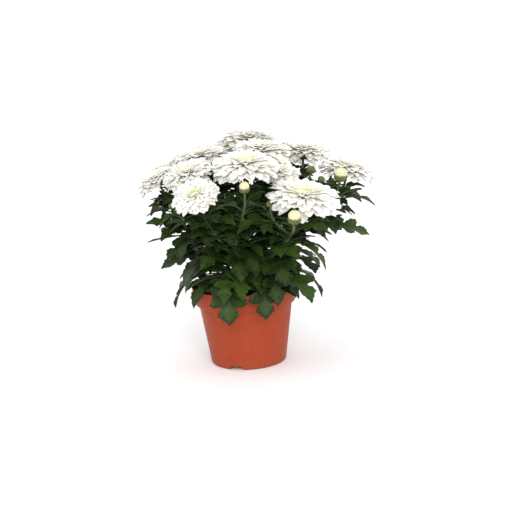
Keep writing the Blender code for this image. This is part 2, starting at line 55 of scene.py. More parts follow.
MM = 0.001
UP = np.array([0.0, 0.0, 1.0])
WELD = 0.001 * MM
SHARP_FROM = 40  # degrees between faces, from where their edge stays a corner
POT_TOP_RADIUS = 60 * MM
POT_BASE_RADIUS = 42.6 * MM
POT_HEIGHT = 90 * MM
COLLAR_HEIGHT = 20 * MM
COLLAR_TAPER = 3.4 * MM
COLLAR_STEP = 4 * MM
SHOULDER_SLOPE = 1.8 * MM
BASE_BEVEL = 1.6 * MM
LIP_BEVEL = 0.6 * MM
LIP_FLARE = 0.4 * MM
WALL = 1.3 * MM
POT_SIDES = 144
CORNER_EASE = 1.1 * MM
EASED_SHARE = 0.4  # of an edge, at most
CHANNELS = 3
FIRST_CHANNEL = -109  # degrees, just left of the front
CHANNEL_HEIGHT = 4.5 * MM
CHANNEL_HALF_WIDTHS = (8.5 * MM, 6.5 * MM)  # at the table and at its roof
CHANNEL_INNER_RADIUS = 26 * MM
DRAIN_RADIUS = 3 * MM
DRAIN_SIDES = 32
DRAIN_FROM_AXIS = 33 * MM
POT_COLOUR = (0.322, 0.054, 0.0215, 1)
POT_SHADE = (0.254, 0.039, 0.017, 1)
POT_DUST = (0.29, 0.10, 0.06, 1)
DUST_HEIGHT = 14 * MM


def unit(vector):
    return vector / np.linalg.norm(vector)


def level_direction(azimuth):
    """The level unit vector at this many degrees from +X."""
    turn = math.radians(azimuth)
    return np.array([math.cos(turn), math.sin(turn), 0.0])


def turn_to(facing):
    """The rotation that turns +Z to this direction."""
    return Vector(UP).rotation_difference(Vector(facing)).to_matrix()


def solid_of(shell):
    """A closed bmesh as a solid: its points and the corners of its faces. The bmesh is freed."""
    bmesh.ops.recalc_face_normals(shell, faces=shell.faces)
    shell.verts.index_update()
    points = np.array([tuple(corner.co) for corner in shell.verts])
    faces = [tuple(corner.index for corner in face.verts) for face in shell.faces]
    shell.free()
    return points, faces


def turned(profile, sides, place=(0, 0, 0), facing=UP):
    """A solid spun from (radius, height) pairs about an axis through a place, with flat ends."""
    shell = bmesh.new()
    corners = [shell.verts.new((radius, 0, height)) for radius, height in profile]
    edges = [shell.edges.new(pair) for pair in zip(corners[:-1], corners[1:])]
    half = [*corners, *edges]
    bmesh.ops.spin(shell, geom=half, cent=(0, 0, 0), axis=UP, angle=2 * math.pi, steps=sides)
    bmesh.ops.remove_doubles(shell, verts=shell.verts, dist=WELD)
    bmesh.ops.holes_fill(shell, edges=shell.edges)
    bmesh.ops.transform(shell, matrix=Matrix.Translation(place) @ turn_to(facing).to_4x4(), verts=shell.verts)
    return solid_of(shell)


def eased(corners, reach, steps=4):
    """A profile with each corner between its ends turned into a small curve."""
    corners = [np.array(corner, float) for corner in corners]
    line = [corners[0]]
    for before, corner, after in zip(corners, corners[1:], corners[2:]):
        back, on = before - corner, after - corner
        start = corner + unit(back) * min(reach, EASED_SHARE * np.linalg.norm(back))
        end = corner + unit(on) * min(reach, EASED_SHARE * np.linalg.norm(on))
        for t in np.linspace(0, 1, steps + 1):
            line.append((1 - t) ** 2 * start + 2 * t * (1 - t) * corner + t**2 * end)
    return [*line, corners[-1]]


def shade(mesh):
    """Smooth shading, with the corners kept sharp."""
    mesh.polygons.foreach_set("use_smooth", [True] * len(mesh.polygons))
    mesh.set_sharp_from_angle(angle=math.radians(SHARP_FROM))


def add_object(name, solid):
    points, faces = solid
    mesh = bpy.data.meshes.new(name)
    mesh.from_pydata(points.tolist(), [], faces)
    shade(mesh)
    made = bpy.data.objects.new(name, mesh)
    bpy.context.scene.collection.objects.link(made)
    return made


def cut(target, cutters):
    """Takes the cutters out of target in one applied Boolean, and removes them."""
    group = bpy.data.collections.new("cutters")
    bpy.context.scene.collection.children.link(group)
    for cutter in cutters:
        bpy.context.scene.collection.objects.unlink(cutter)
        group.objects.link(cutter)
    step = target.modifiers.new("Boolean", "BOOLEAN")
    step.operation = "DIFFERENCE"
    step.operand_type = "COLLECTION"
    step.collection = group
    step.solver = "EXACT"
    graph = bpy.context.evaluated_depsgraph_get()
    result = bpy.data.meshes.new_from_object(target.evaluated_get(graph))
    target.modifiers.clear()
    shade(result)
    target.data = result
    for cutter in cutters:
        bpy.data.objects.remove(cutter)
    bpy.data.collections.remove(group)


def outer_profile():
    """The outside of the pot, from the centre of its underside to the middle of its lip."""
    shoulder = POT_HEIGHT - COLLAR_HEIGHT
    neck = POT_TOP_RADIUS - COLLAR_TAPER - COLLAR_STEP
    return [
        (0, 0),
        (POT_BASE_RADIUS - BASE_BEVEL, 0),
        (POT_BASE_RADIUS, BASE_BEVEL),
        (neck, shoulder - SHOULDER_SLOPE),
        (neck + COLLAR_STEP, shoulder),
        (POT_TOP_RADIUS, POT_HEIGHT - LIP_BEVEL),
        (POT_TOP_RADIUS - LIP_BEVEL, POT_HEIGHT),
        (0, POT_HEIGHT),
    ]


def inner_profile(clearance):
    """The inside of the pot, from the centre of its floor to its lip, moved in by a clearance."""
    inward = WALL + clearance
    shoulder = POT_HEIGHT - COLLAR_HEIGHT + inward
    neck = POT_TOP_RADIUS - COLLAR_TAPER - COLLAR_STEP - inward
    return [
        (0, inward),
        (POT_BASE_RADIUS - inward, inward),
        (neck, shoulder - SHOULDER_SLOPE),
        (neck + COLLAR_STEP, shoulder),
        (POT_TOP_RADIUS - inward, POT_HEIGHT - LIP_BEVEL),
    ]


def channel_blocks(grow):
    """A wedge-sided block for each drainage channel, this much wider and higher than the channel."""
    blocks = []
    for k in range(CHANNELS):
        out = level_direction(FIRST_CHANNEL + 360 * k / CHANNELS)
        side = np.cross(UP, out)
        shell = bmesh.new()
        for radius in (CHANNEL_INNER_RADIUS - grow, POT_TOP_RADIUS):
            for height, half_width in zip((-WALL, CHANNEL_HEIGHT + grow), CHANNEL_HALF_WIDTHS):
                for end in (-1, 1):
                    shell.verts.new(radius * out + end * (half_width + grow) * side + height * UP)
        bmesh.ops.convex_hull(shell, input=shell.verts[:])
        blocks.append(add_object("channel", solid_of(shell)))
    return blocks


def add_node(tree, kind, inputs=None, **settings):
    """A shader node with its settings. Each input gets a value, or a socket that feeds it."""
    made = tree.nodes.new("ShaderNode" + kind)
    for name, value in settings.items():
        setattr(made, name, value)
    for name, value in (inputs or {}).items():
        if isinstance(value, bpy.types.NodeSocket):
            tree.links.new(value, made.inputs[name])
        else:
            made.inputs[name].default_value = value
    return made


def new_group(name, inputs, outputs):
    """A node group with its numbers' first values and its outputs' kinds, and the sockets at its two ends."""
    group = bpy.data.node_groups.new(name, "ShaderNodeTree")
    for label, value in inputs.items():
        socket = group.interface.new_socket(name=label, in_out="INPUT", socket_type="NodeSocketFloat")
        socket.default_value = value
    for label, kind in outputs.items():
        group.interface.new_socket(name=label, in_out="OUTPUT", socket_type="NodeSocket" + kind)
    return group, group.nodes.new("NodeGroupInput").outputs, group.nodes.new("NodeGroupOutput").inputs


def maths(tree, operation, *values):
    """What a Math node makes of these values."""
    return add_node(tree, "Math", dict(enumerate(values)), operation=operation).outputs[0]


def ramp(tree, value, start, end, low=0.0, high=1.0, **settings):
    """Goes from low to high as the value goes from start to end, and stays between them."""
    ends = {"Value": value, "From Min": start, "From Max": end, "To Min": low, "To Max": high}
    return add_node(tree, "MapRange", ends, **settings).outputs["Result"]


def new_material(name, **constants):
    """A material with its shader. The constants are values on the shader's own sockets, by their names."""
    made = bpy.data.materials.new(name)
    made.use_nodes = True
    shader = made.node_tree.nodes["Principled BSDF"]
    for socket, value in constants.items():
        shader.inputs[socket.replace("_", " ")].default_value = value
    return made, made.node_tree, shader


def feed(shader, **sources):
    """Links what changes over the surface to the shader's own sockets, by their names."""
    for socket, source in sources.items():
        shader.id_data.links.new(source, shader.inputs[socket.replace("_", " ")])


def mixed(tree, share, first, second):
    """The colour that runs from first to second as share goes from 0 to 1."""
    colours = {"Factor": share, "A": first, "B": second}
    return add_node(tree, "Mix", colours, data_type="RGBA").outputs["Result"]


def patches_group():
    """Cloudy unevenness: a mask whose patches have a size in metres, longer in height by a stretch."""
    values = {"Size": 0.01, "Stretch": 1.0, "Contrast": 0.5}
    group, given, result = new_group("patches", values, {"Mask": "Float"})
    where = add_node(group, "TexCoord").outputs["Object"]
    narrow = maths(group, "DIVIDE", 1.0, given["Size"])
    tall = maths(group, "DIVIDE", narrow, given["Stretch"])
    scale = add_node(group, "CombineXYZ", {"X": narrow, "Y": narrow, "Z": tall}).outputs[0]
    spread = add_node(group, "VectorMath", {0: where, 1: scale}, operation="MULTIPLY").outputs[0]
    cloud = add_node(group, "TexNoise", {"Vector": spread, "Scale": 1.0, "Detail": 3.0}).outputs["Fac"]
    low = maths(group, "MULTIPLY_ADD", given["Contrast"], -0.3, 0.5)
    high = maths(group, "MULTIPLY_ADD", given["Contrast"], 0.3, 0.5)
    group.links.new(ramp(group, cloud, high, low, interpolation_type="SMOOTHSTEP"), result["Mask"])
    return group


def grain_group():
    """Fine surface grain: the normal of a low relief whose grains have a size and a depth in metres."""
    group, given, result = new_group("grain", {"Size": 0.001, "Depth": 0.0001}, {"Normal": "Vector"})
    where = add_node(group, "TexCoord").outputs["Object"]
    scale = maths(group, "DIVIDE", 1.0, given["Size"])
    field = add_node(group, "TexNoise", {"Vector": where, "Scale": scale, "Detail": 4.0}).outputs["Fac"]
    bump = add_node(group, "Bump", {"Height": field, "Distance": given["Depth"]})
    group.links.new(bump.outputs["Normal"], result["Normal"])
    return group


patches = patches_group()
grain = grain_group()


def cloudy(tree, size, contrast, stretch=1.0):
    """The mask of the patches group in a material."""
    values = {"Size": size, "Contrast": contrast, "Stretch": stretch}
    return add_node(tree, "Group", values, node_tree=patches).outputs["Mask"]


def grainy(tree, size, depth):
    """The normal of the grain group in a material."""
    return add_node(tree, "Group", {"Size": size, "Depth": depth}, node_tree=grain).outputs["Normal"]


def height_of(tree):
    """How high the surface's points are above the table."""
    where = add_node(tree, "TexCoord").outputs["Object"]
    return add_node(tree, "SeparateXYZ", {0: where}).outputs["Z"]


def pot_plastic_finish():
    """Satin plastic of nearly even colour, with faint flow streaks up the wall and some dust at the foot."""
    made, tree, shader = new_material(
        "terracotta plastic", Specular_IOR_Level=0.08, Subsurface_Weight=0.05, Subsurface_Scale=1.5 * MM
    )
    cloud = cloudy(tree, size=22 * MM, contrast=0.8)
    streaks = cloudy(tree, size=2.4 * MM, contrast=0.7, stretch=26.0)
    uneven = maths(tree, "MULTIPLY_ADD", streaks, 0.25, maths(tree, "MULTIPLY", cloud, 0.35))
    wall = mixed(tree, uneven, POT_COLOUR, POT_SHADE)
    foot = ramp(tree, height_of(tree), DUST_HEIGHT, 0.0, high=0.35)
    dust = maths(tree, "MULTIPLY", foot, cloudy(tree, size=1.6 * MM, contrast=0.6))
    feed(
        shader,
        Base_Color=mixed(tree, dust, wall, POT_DUST),
        Roughness=ramp(tree, cloud, 0.0, 1.0, low=0.38, high=0.47),
        Normal=grainy(tree, size=0.5 * MM, depth=0.04 * MM),
    )
    return made


mouth_radius = POT_TOP_RADIUS - WALL + LIP_FLARE
mouth = [(mouth_radius, POT_HEIGHT), (mouth_radius, POT_HEIGHT + WALL), (0, POT_HEIGHT + WALL)]
cavity_profile = eased([*inner_profile(0), *mouth], CORNER_EASE)
cavity = add_object("cavity", turned(cavity_profile, POT_SIDES))
cut(cavity, channel_blocks(WALL))
nursery_pot = add_object("nursery_pot", turned(eased(outer_profile(), CORNER_EASE), POT_SIDES))
cut(nursery_pot, [cavity])
drains = []
drain_profile = [(DRAIN_RADIUS, -WALL), (DRAIN_RADIUS, CHANNEL_HEIGHT + 3 * WALL)]
for k in range(CHANNELS):
    place = DRAIN_FROM_AXIS * level_direction(FIRST_CHANNEL + 360 * k / CHANNELS)
    drains.append(add_object("drain", turned(drain_profile, DRAIN_SIDES, place)))
cut(nursery_pot, [*channel_blocks(0), *drains])
nursery_pot.data.materials.clear()
nursery_pot.data.materials.append(pot_plastic_finish())
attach(nursery_pot, "root")
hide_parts("pot")


# Potting soil
# Peat with a little perlite, pressed into the pot and watered down to a finger's width under the lip. Its
# top is a low dome of loose crumbs that has been heaped up a little round the stems.

GAP = 0.3 * MM
SOIL_TOP = 78 * MM
SOIL_DOME = 2 * MM
SOIL_SIDES = 120
SOIL_RINGS = 30
SOIL_RELIEF = 1.3 * MM
SOIL_SETTLED = 0.4 * MM
SOIL_HEAPS = 9 * MM  # across, the broad unevenness
SOIL_CRUMBLE = 2.6 * MM  # across, the fine one
CRUMBS = 170
CRUMB_SIZES = (0.8 * MM, 2.2 * MM)
CRUMB_ROUGHNESS = 0.45
CRUMB_FLATNESS = 0.75
CRUMBS_WITHIN = 0.9  # of the pot's inside
PERLITE_SIZE = 0.9 * MM
PERLITE_SHARE = 0.09
SOIL_COLOUR = (0.040, 0.022, 0.012, 1)
SOIL_DARK = (0.012, 0.007, 0.004, 1)
PERLITE_COLOUR = (0.62, 0.60, 0.55, 1)


def new_pile():
    """An empty pile of solids that become one mesh."""
    return {"points": [], "faces": [], "finish": [], "place": [], "tone": [], "count": 0}


def heap(pile, points, faces, finish=0, place=None, tone=(0.0, 0.0, 0.0)):
    """Lays a solid on a pile, with its finish's number, and what its points tell the material."""
    start = pile["count"]
    size = len(points)
    pile["points"].append(points)
    pile["faces"] += [tuple(start + corner for corner in face) for face in faces]
    pile["finish"] += [finish] * len(faces)
    pile["place"].append(np.zeros((size, 3)) if place is None else place)
    pile["tone"].append(np.broadcast_to(tone, (size, 3)))
    pile["count"] = start + size


def piece_of(name, pile, finishes, node):
    """The object made from a pile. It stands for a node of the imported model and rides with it."""
    made = add_object(name, (np.vstack(pile["points"]), pile["faces"]))
    mesh = made.data
    for label in ("place", "tone"):
        carried = mesh.attributes.new(label, "FLOAT_VECTOR", "POINT")
        carried.data.foreach_set("vector", np.vstack(pile[label]).astype(np.float32).ravel())
    for finish in finishes:
        mesh.materials.append(finish)
    mesh.polygons.foreach_set("material_index", pile["finish"])
    mesh.update()
    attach(made, "root")
    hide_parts(node)


def told(tree, label):
    """The three values that the mesh's points carry under a label."""
    carried = add_node(tree, "Attribute", attribute_name=label).outputs["Vector"]
    return add_node(tree, "SeparateXYZ", {0: carried}).outputs


def soil_finish():
    """Moist peat: near black with brown fibres, and white perlite on the crumbs that are toned for it."""
    made, tree, shader = new_material("moist peat", Roughness=0.92, Specular_IOR_Level=0.25)
    fine = cloudy(tree, size=1.4 * MM, contrast=0.9)
    broad = cloudy(tree, size=9 * MM, contrast=0.8)
    peat = mixed(tree, maths(tree, "MULTIPLY", fine, broad), SOIL_COLOUR, SOIL_DARK)
    feed(
        shader,
        Base_Color=mixed(tree, told(tree, "tone")["X"], peat, PERLITE_COLOUR),
        Normal=grainy(tree, size=0.9 * MM, depth=0.5 * MM),
    )
    return made


def soil_height(x, y):
    """The uneven top of the soil."""
    share = math.hypot(x, y) / POT_TOP_RADIUS
    coarse = noise.noise(Vector((x, y, 0.0)) / SOIL_HEAPS)
    fine = noise.noise(Vector((x, y, 0.3)) / SOIL_CRUMBLE)
    return SOIL_TOP - SOIL_DOME * share**2 + SOIL_RELIEF * (0.7 * coarse + 0.5 * fine) - SOIL_SETTLED


def soil_body():
    """The plug of peat, as rings of points from the middle of its top down to the middle of its underside."""
    edge = POT_TOP_RADIUS - COLLAR_TAPER - WALL - 2 * GAP
    wall = [point for point in inner_profile(2 * GAP) if 0 < point[0] and point[1] < SOIL_TOP - 4 * MM]
    radii = [edge * (k + 1) / SOIL_RINGS for k in range(SOIL_RINGS)]
    points = [(0.0, 0.0, soil_height(0, 0))]
    for radius in radii:
        for k in range(SOIL_SIDES):
            x, y, _ = radius * level_direction(360 * k / SOIL_SIDES)
            points.append((x, y, soil_height(x, y)))
    for radius, height in reversed(wall):
        points += [(*(radius * level_direction(360 * k / SOIL_SIDES))[:2], height) for k in range(SOIL_SIDES)]
    points.append((0.0, 0.0, wall[0][1]))
    rings = SOIL_RINGS + len(wall)
    faces = []
    for k in range(SOIL_SIDES):
        after = (k + 1) % SOIL_SIDES
        faces.append((0, 1 + k, 1 + after))
        for ring in range(rings - 1):
            low, high = 1 + ring * SOIL_SIDES, 1 + (ring + 1) * SOIL_SIDES
            faces.append((low + k, high + k, high + after, low + after))
        last = 1 + (rings - 1) * SOIL_SIDES
        faces.append((last + k, len(points) - 1, last + after))
    return np.array(points), faces


def crumb(size):
    """A rough lump of peat or perlite about the origin."""
    shell = bmesh.new()
    bmesh.ops.create_icosphere(shell, subdivisions=2, radius=size)
    offset = Vector((soil_draw.random(), soil_draw.random(), soil_draw.random())) * 20
    for corner in shell.verts:
        corner.co *= 1 + CRUMB_ROUGHNESS * noise.noise(corner.co / size * 1.3 + offset)
        corner.co.z *= CRUMB_FLATNESS
    return solid_of(shell)


def taken_apart(thing):
    """An object's solid. The object is removed."""
    points = np.array([tuple(corner.co) for corner in thing.data.vertices])
    faces = [tuple(face.vertices) for face in thing.data.polygons]
    bpy.data.objects.remove(thing)
    return points, faces


soil_draw = random.Random(5)
soil = new_pile()
plug = add_object("plug", soil_body())
cut(plug, channel_blocks(WALL + 2 * GAP))
heap(soil, *taken_apart(plug))
for k in range(CRUMBS):
    radius = CRUMBS_WITHIN * (POT_TOP_RADIUS - COLLAR_TAPER - WALL) * math.sqrt(soil_draw.random())
    x, y, _ = radius * level_direction(360 * soil_draw.random())
    white = soil_draw.random() < PERLITE_SHARE
    lump, sides = crumb(PERLITE_SIZE if white else soil_draw.uniform(*CRUMB_SIZES))
    heap(soil, lump + (x, y, soil_height(x, y)), sides, tone=(float(white), 0, 0))
piece_of("peat", soil, [soil_finish()], "potting_soil")


# Shoots
# Five rooted cuttings stand in the peat. Each has forked into side shoots, and every shoot ends in a flower
# head or a bud. Green, half-woody at the foot, with five low ribs and lighter streaks along them.

STEM_BASE_RADIUS = 2.7 * MM
SHOOT_BASE_RADIUS = 1.7 * MM
SHOOT_TIP_RADIUS = 1.25 * MM
PLANTING_DEPTH = 20 * MM
PLANTING_RADIUS = 21 * MM
STRAIGHT_NECK = 6 * MM
STEM_SPLAY = 0.25
SIDE_SHOOT_RISE = 0.9
PATH_REACH = 0.42  # how far a shoot keeps its first and last directions, as a share of its length
SHOOT_TIP_SUNK = 1.5 * MM
MAIN_SHOOT_POINTS = 6
SIDE_SHOOT_POINTS = 5
FINE_POINTS = 7  # between two of those points
SHOOT_SIDES = 15
SHOOT_RIBS = 5
SHOOT_RIB_DEPTH = 0.09  # of the radius
FIRST_SIDE = (0.31, 0.87, 0.38)  # a direction that no path starts in
WOODY_BELOW = 120 * MM
WOODY_FROM = 80 * MM
STEM_COLOUR = (0.085, 0.125, 0.040, 1)
STEM_DARK = (0.035, 0.060, 0.016, 1)
STEM_WOOD = (0.115, 0.085, 0.040, 1)

# Each flower head: x, y, z of its receptacle in mm, its tilt from upright and the tilt's azimuth in degrees,
# and its radius in mm
BLOOMS = {
    "bloom_01": (-45, -79, 206, 30, -119, 26),
    "bloom_02": (-54, -33, 222, 15, -148, 29),
    "bloom_03": (-90, -8, 213, 30, 178, 25),
    "bloom_04": (-41, 28, 229, 11, 146, 32),
    "bloom_05": (9, -48, 229, 9, -84, 37),
    "bloom_06": (28, 6, 236, 5, 20, 34),
    "bloom_07": (12, 64, 241, 10, 80, 35),
    "bloom_08": (75, 32, 229, 6, 44, 30),
    "bloom_09": (122, 3, 211, 12, 0, 33),
    "bloom_10": (69, -70, 195, 13, -60, 40),
    "bloom_11": (43, -22, 216, 12, -30, 26),
    "bloom_12": (-80, 50, 213, 20, 148, 29),
    "bloom_13": (-32, 92, 222, 18, 110, 32),
    "bloom_14": (64, 88, 219, 18, 53, 31),
}
# Each bud the same way, and whether it has opened enough to show cream
BUDS = {
    "bud_1": (7, -81, 211, 12, -90, 5.0, True),
    "bud_2": (57, -103, 180, 14, -70, 6.2, True),
    "bud_3": (111, -38, 211, 10, -30, 6.2, True),
    "green_bud_1": (81, -8, 216, 15, 20, 4.0, False),
    "green_bud_2": (91, -22, 207, 25, -20, 3.2, False),
    "green_bud_3": (33, -78, 193, 15, -80, 3.2, False),
    "green_bud_4": (-72, -50, 192, 30, -150, 3.2, False),
    "green_bud_5": (108, 48, 204, 25, 30, 4.0, False),
}
# Each stem: azimuth of its root in degrees, the head on its main shoot, and the heads on its side shoots with
# the height in mm that each leaves the main shoot at
STEMS = {
    "leafy_stem_1": (-118, "bloom_05", {"bloom_01": 128, "bud_1": 158, "green_bud_4": 140}),
    "leafy_stem_2": (-46, "bloom_10", {"bloom_11": 122, "bud_2": 150, "green_bud_3": 152}),
    "leafy_stem_3": (14, "bloom_08", {
        "bloom_09": 118, "bud_3": 140, "green_bud_1": 160, "green_bud_2": 150, "green_bud_5": 150,
    }),
    "leafy_stem_4": (86, "bloom_07", {"bloom_06": 130, "bloom_13": 112, "bloom_14": 120}),
    "leafy_stem_5": (158, "bloom_04", {"bloom_02": 124, "bloom_03": 112, "bloom_12": 118}),
}


def tilted(tilt, azimuth):
    """The unit vector that leans this many degrees from +Z."""
    lean = math.radians(tilt)
    return math.sin(lean) * level_direction(azimuth) + np.array([0.0, 0.0, math.cos(lean)])


def smooth_path(start, start_way, end, end_way, points):
    """A cubic curve that leaves start along start_way and arrives at end along end_way."""
    reach = PATH_REACH * np.linalg.norm(end - start)
    knots = (start, start + reach * start_way, end - reach * end_way, end)
    t = np.linspace(0, 1, points)[:, None]
    weights = ((1 - t) ** 3, 3 * t * (1 - t) ** 2, 3 * t**2 * (1 - t), t**3)
    return sum(weight * knot for weight, knot in zip(weights, knots))


def point_at_height(path, height):
    """The point of a rising path at this height."""
    return np.array([np.interp(height, path[:, 2], path[:, k]) for k in range(3)])


def head_frame(name):
    """Where a head or a bud sits on its shoot, the way that it faces, and its radius."""
    x, y, z, tilt, azimuth, radius = {**BLOOMS, **BUDS}[name][:6]
    return np.array([x, y, z]) * MM, tilted(tilt, azimuth), radius * MM


def plan_shoots(finer=1):
    """{head: its shoot's path}, and {stem: its heads}, the main shoot's first."""
    paths = {}
    grown = {}
    for stem, (azimuth, main, side_shoots) in STEMS.items():
        out = level_direction(azimuth)
        root = PLANTING_RADIUS * out + (SOIL_TOP - PLANTING_DEPTH) * UP
        collar = root + (PLANTING_DEPTH + STRAIGHT_NECK) * UP
        grown[stem] = (main, *side_shoots)
        for head in grown[stem]:
            place, facing, _ = head_frame(head)
            end = place - SHOOT_TIP_SUNK * facing
            if head == main:
                points = (MAIN_SHOOT_POINTS - 1) * finer + 1
                risen = smooth_path(collar, unit(UP + STEM_SPLAY * out), end, facing, points)
                paths[head] = np.vstack([root, risen])
            else:
                start = point_at_height(paths[main], side_shoots[head] * MM)
                away = (end - start) * (1, 1, 0)
                start_way = unit(unit(away) + SIDE_SHOOT_RISE * UP)
                points = (SIDE_SHOOT_POINTS - 1) * finer + 1
                paths[head] = smooth_path(start, start_way, end, facing, points)
    return paths, grown


def swept(path, radii, sides, rib=0.0):
    """A closed tube along a path, with low ribs where they have a depth."""
    ways = np.gradient(path, axis=0)
    ways /= np.linalg.norm(ways, axis=1)[:, None]
    side = unit(np.cross(ways[0], FIRST_SIDE))
    angles = np.linspace(0, 2 * math.pi, sides, endpoint=False)
    ribbed = 1 + rib * np.cos(SHOOT_RIBS * angles)
    rings = []
    for place, way, radius in zip(path, ways, radii):
        side = unit(side - way * (side @ way))
        other = np.cross(way, side)
        ring = np.outer(ribbed * np.cos(angles), side) + np.outer(ribbed * np.sin(angles), other)
        rings.append(place + radius * ring)
    faces = [tuple(reversed(range(sides)))]
    for ring in range(len(path) - 1):
        low, high = ring * sides, (ring + 1) * sides
        for k in range(sides):
            after = (k + 1) % sides
            faces.append((low + k, low + after, high + after, high + k))
    faces.append(tuple(range((len(path) - 1) * sides, len(path) * sides)))
    return np.vstack(rings), faces


def shoot_finish():
    """Green bark: streaks along the ribs, brown and woody near the soil."""
    made, tree, shader = new_material(
        "green bark", Roughness=0.55, Specular_IOR_Level=0.4, Subsurface_Weight=0.1, Subsurface_Scale=1.0 * MM
    )
    streaks = cloudy(tree, size=0.8 * MM, contrast=0.9, stretch=9.0)
    cloud = cloudy(tree, size=12 * MM, contrast=0.8)
    green = mixed(tree, maths(tree, "MULTIPLY", streaks, cloud), STEM_COLOUR, STEM_DARK)
    woody = ramp(tree, height_of(tree), WOODY_BELOW, WOODY_FROM, high=0.8)
    feed(
        shader,
        Base_Color=mixed(tree, woody, green, STEM_WOOD),
        Normal=grainy(tree, size=0.7 * MM, depth=0.12 * MM),
    )
    return made


paths, grown = plan_shoots()
fine_paths, _ = plan_shoots(FINE_POINTS)
stem_piles = {stem: new_pile() for stem in STEMS}
for stem, heads in grown.items():
    for order, head in enumerate(heads):
        line = fine_paths[head]
        base_radius = SHOOT_BASE_RADIUS if order else STEM_BASE_RADIUS
        thick = np.linspace(base_radius, SHOOT_TIP_RADIUS, len(line))
        heap(stem_piles[stem], *swept(line, thick, SHOOT_SIDES, SHOOT_RIB_DEPTH))


# Leaves
# Thin lobed and toothed blades on grooved stalks, one at each joint of a shoot, with small young leaves in
# their axils. Dark green with a soft sheen and paler veins above, felted and grey-green underneath.

# Blade for keeping clear, as half of its outline: along the midrib and out from it, in blade lengths
LEAF_HALF = ((0.25, 0.37), (0.37, 0.14), (0.56, 0.40), (0.67, 0.14), (0.84, 0.20))
LEAF_RIB = (0.37, 0.67)
UPPER_LEAF_HALF = ((0.38, 0.40), (0.52, 0.14), (0.76, 0.21))
UPPER_LEAF_RIB = (0.52,)
UPPER_BLADE = 49 * MM
LEAF_THICKNESS = 0.7 * MM
LEAF_CLEARANCE = 1.2 * MM
PETIOLE_HALF_WIDTH = 0.9 * MM
FIRST_LEAF_HEIGHT = 93 * MM
LEAF_SPACING = 10.8 * MM
GOLDEN_ANGLE = 137.5
LEAF_FAN = 0.62  # leaves turn towards the light, so they keep to this share of a full turn
SIDE_SHOOT_BARE = 12 * MM  # from where it forks to its first leaf
BLOOM_NECK = 26 * MM  # without leaves under its head
BUD_NECK = 16 * MM
SIDE_SPACING = 1.35  # on a side shoot, times the main shoot's
SHOOT_TURN = 67  # degrees, from one shoot's first leaf to the next one's
LEAF_ZONE = (90 * MM, 110 * MM)  # where the largest leaves are, and how far above them the smallest
# From the largest leaf to the smallest: blade in mm, petiole in blades, slopes at the stem and the tip
BLADES = (63, 34)
PETIOLES = (0.36, 0.24)
RISES = (24, 48)
FALLS = (-82, -42)
BLADE_SPREAD = (0.9, 1.08)
AZIMUTH_SWING = 10  # degrees, by which a leaf differs from its kind
LEAF_SWINGS = (8, 16, 24)  # the same for its two slopes and its roll
LEAF_FOLDS = (4, 16)
TURN_STEP = 9  # degrees, by which a leaf turns to find room
LIFT_STEP = 8  # degrees, by which its tip lifts for that
LEAF_SEED = 21
FILLING_SEEDS = (22, 23)
# Small leaves: how many, their blades in mm, their petioles in blades, and their slopes as above
SMALL_SWINGS = (12, 18, 26)
SMALL_FOLDS = (5, 18)
RIM_LEAVES = 12  # a stem
RIM_JOINTS = (88, 106)  # mm above the table
RIM_FAN = 150  # degrees
RIM_SWING = 9
RIM_FORM = ((38, 50), (0.35, 0.55), (16, -62))
BLOOM_BRACTS = 5
BUD_BRACTS = 2
BRACT_JOINTS = (9, 28)  # mm below the bloom or bud
BRACT_FORM = ((16, 28), 0.2, (42, -8))
AXIL_LEAVES = 3  # a leaf
AXIL_FAN = 120
AXIL_FORM = ((15, 30), 0.35, (52, 0))
FILL_SPACING = 4.5 * MM
FILL_FROM = 92 * MM
FILL_BARE = (8 * MM, 18 * MM)  # at a side shoot's foot and under a head
FILL_SWING = 30
FILL_SPREAD = (0.8, 1.05)
FILL_BLADES = (50, 30)
FILL_PETIOLE = 0.3
FILL_RISES = (24, 50)
FILL_FALLS = (-66, -22)
GUARD_POT_SIDES = 36
SHOOT_GUARD_RADII = (2.6 * MM, 2.0 * MM)
HEAD_GUARD_HALF = ((0.2, -0.10), (1.06, -0.10), (1.06, 0.10), (0.3, 0.36))
SKIRT_GUARD_HALF = ((0.6, -0.36), (1.06, -0.36), (1.1, 0.0), (0.6, 0.0))
BUD_GUARD_HALF = ((0.9, -1.0), (1.3, 0.0), (1.3, 1.2), (0.5, 1.9))
GUARD_SIDES = 12
GIVEN_FOLD = 8.0
# Leaves that give the plant its outline: shoot, height of the joint in mm, azimuth, blade and petiole in mm,
# slope at the stem and at the tip, and roll, in degrees
OUTLINE_LEAVES = (
    ("bloom_05", 101, -98, 55, 24, 22, -96, 4),
    ("bloom_10", 103, -89, 50, 26, 22, -95, -6),
    ("bloom_02", 108, -166, 50, 20, 12, -32, -14),
    ("bloom_03", 150, -174, 40, 12, 0, -14, 16),
    ("bloom_03", 163, -166, 36, 8, 16, -6, -24),
    ("bloom_09", 150, -6, 50, 20, 8, -30, 14),
    ("bloom_09", 178, -4, 26, 6, 30, 16, 10),
    ("bloom_10", 146, -22, 46, 14, 4, -78, -10),
    ("bloom_05", 140, -84, 44, 14, -8, -64, -6),
)
# The same for leaves that hang over the front of the pot, beside the two large ones
FRONT_LEAVES = (
    ("bloom_05", 96, -126, 42, 22, 16, -88, 6),
    ("bloom_05", 108, -112, 40, 30, 24, -86, -6),
    ("bloom_05", 108, -82, 40, 30, 24, -88, 6),
    ("bloom_10", 97, -102, 40, 24, 14, -84, 4),
    ("bloom_10", 110, -76, 42, 30, 26, -88, -4),
    ("bloom_10", 98, -64, 42, 22, 16, -88, 8),
    ("bloom_10", 104, -48, 40, 24, 18, -86, -8),
)
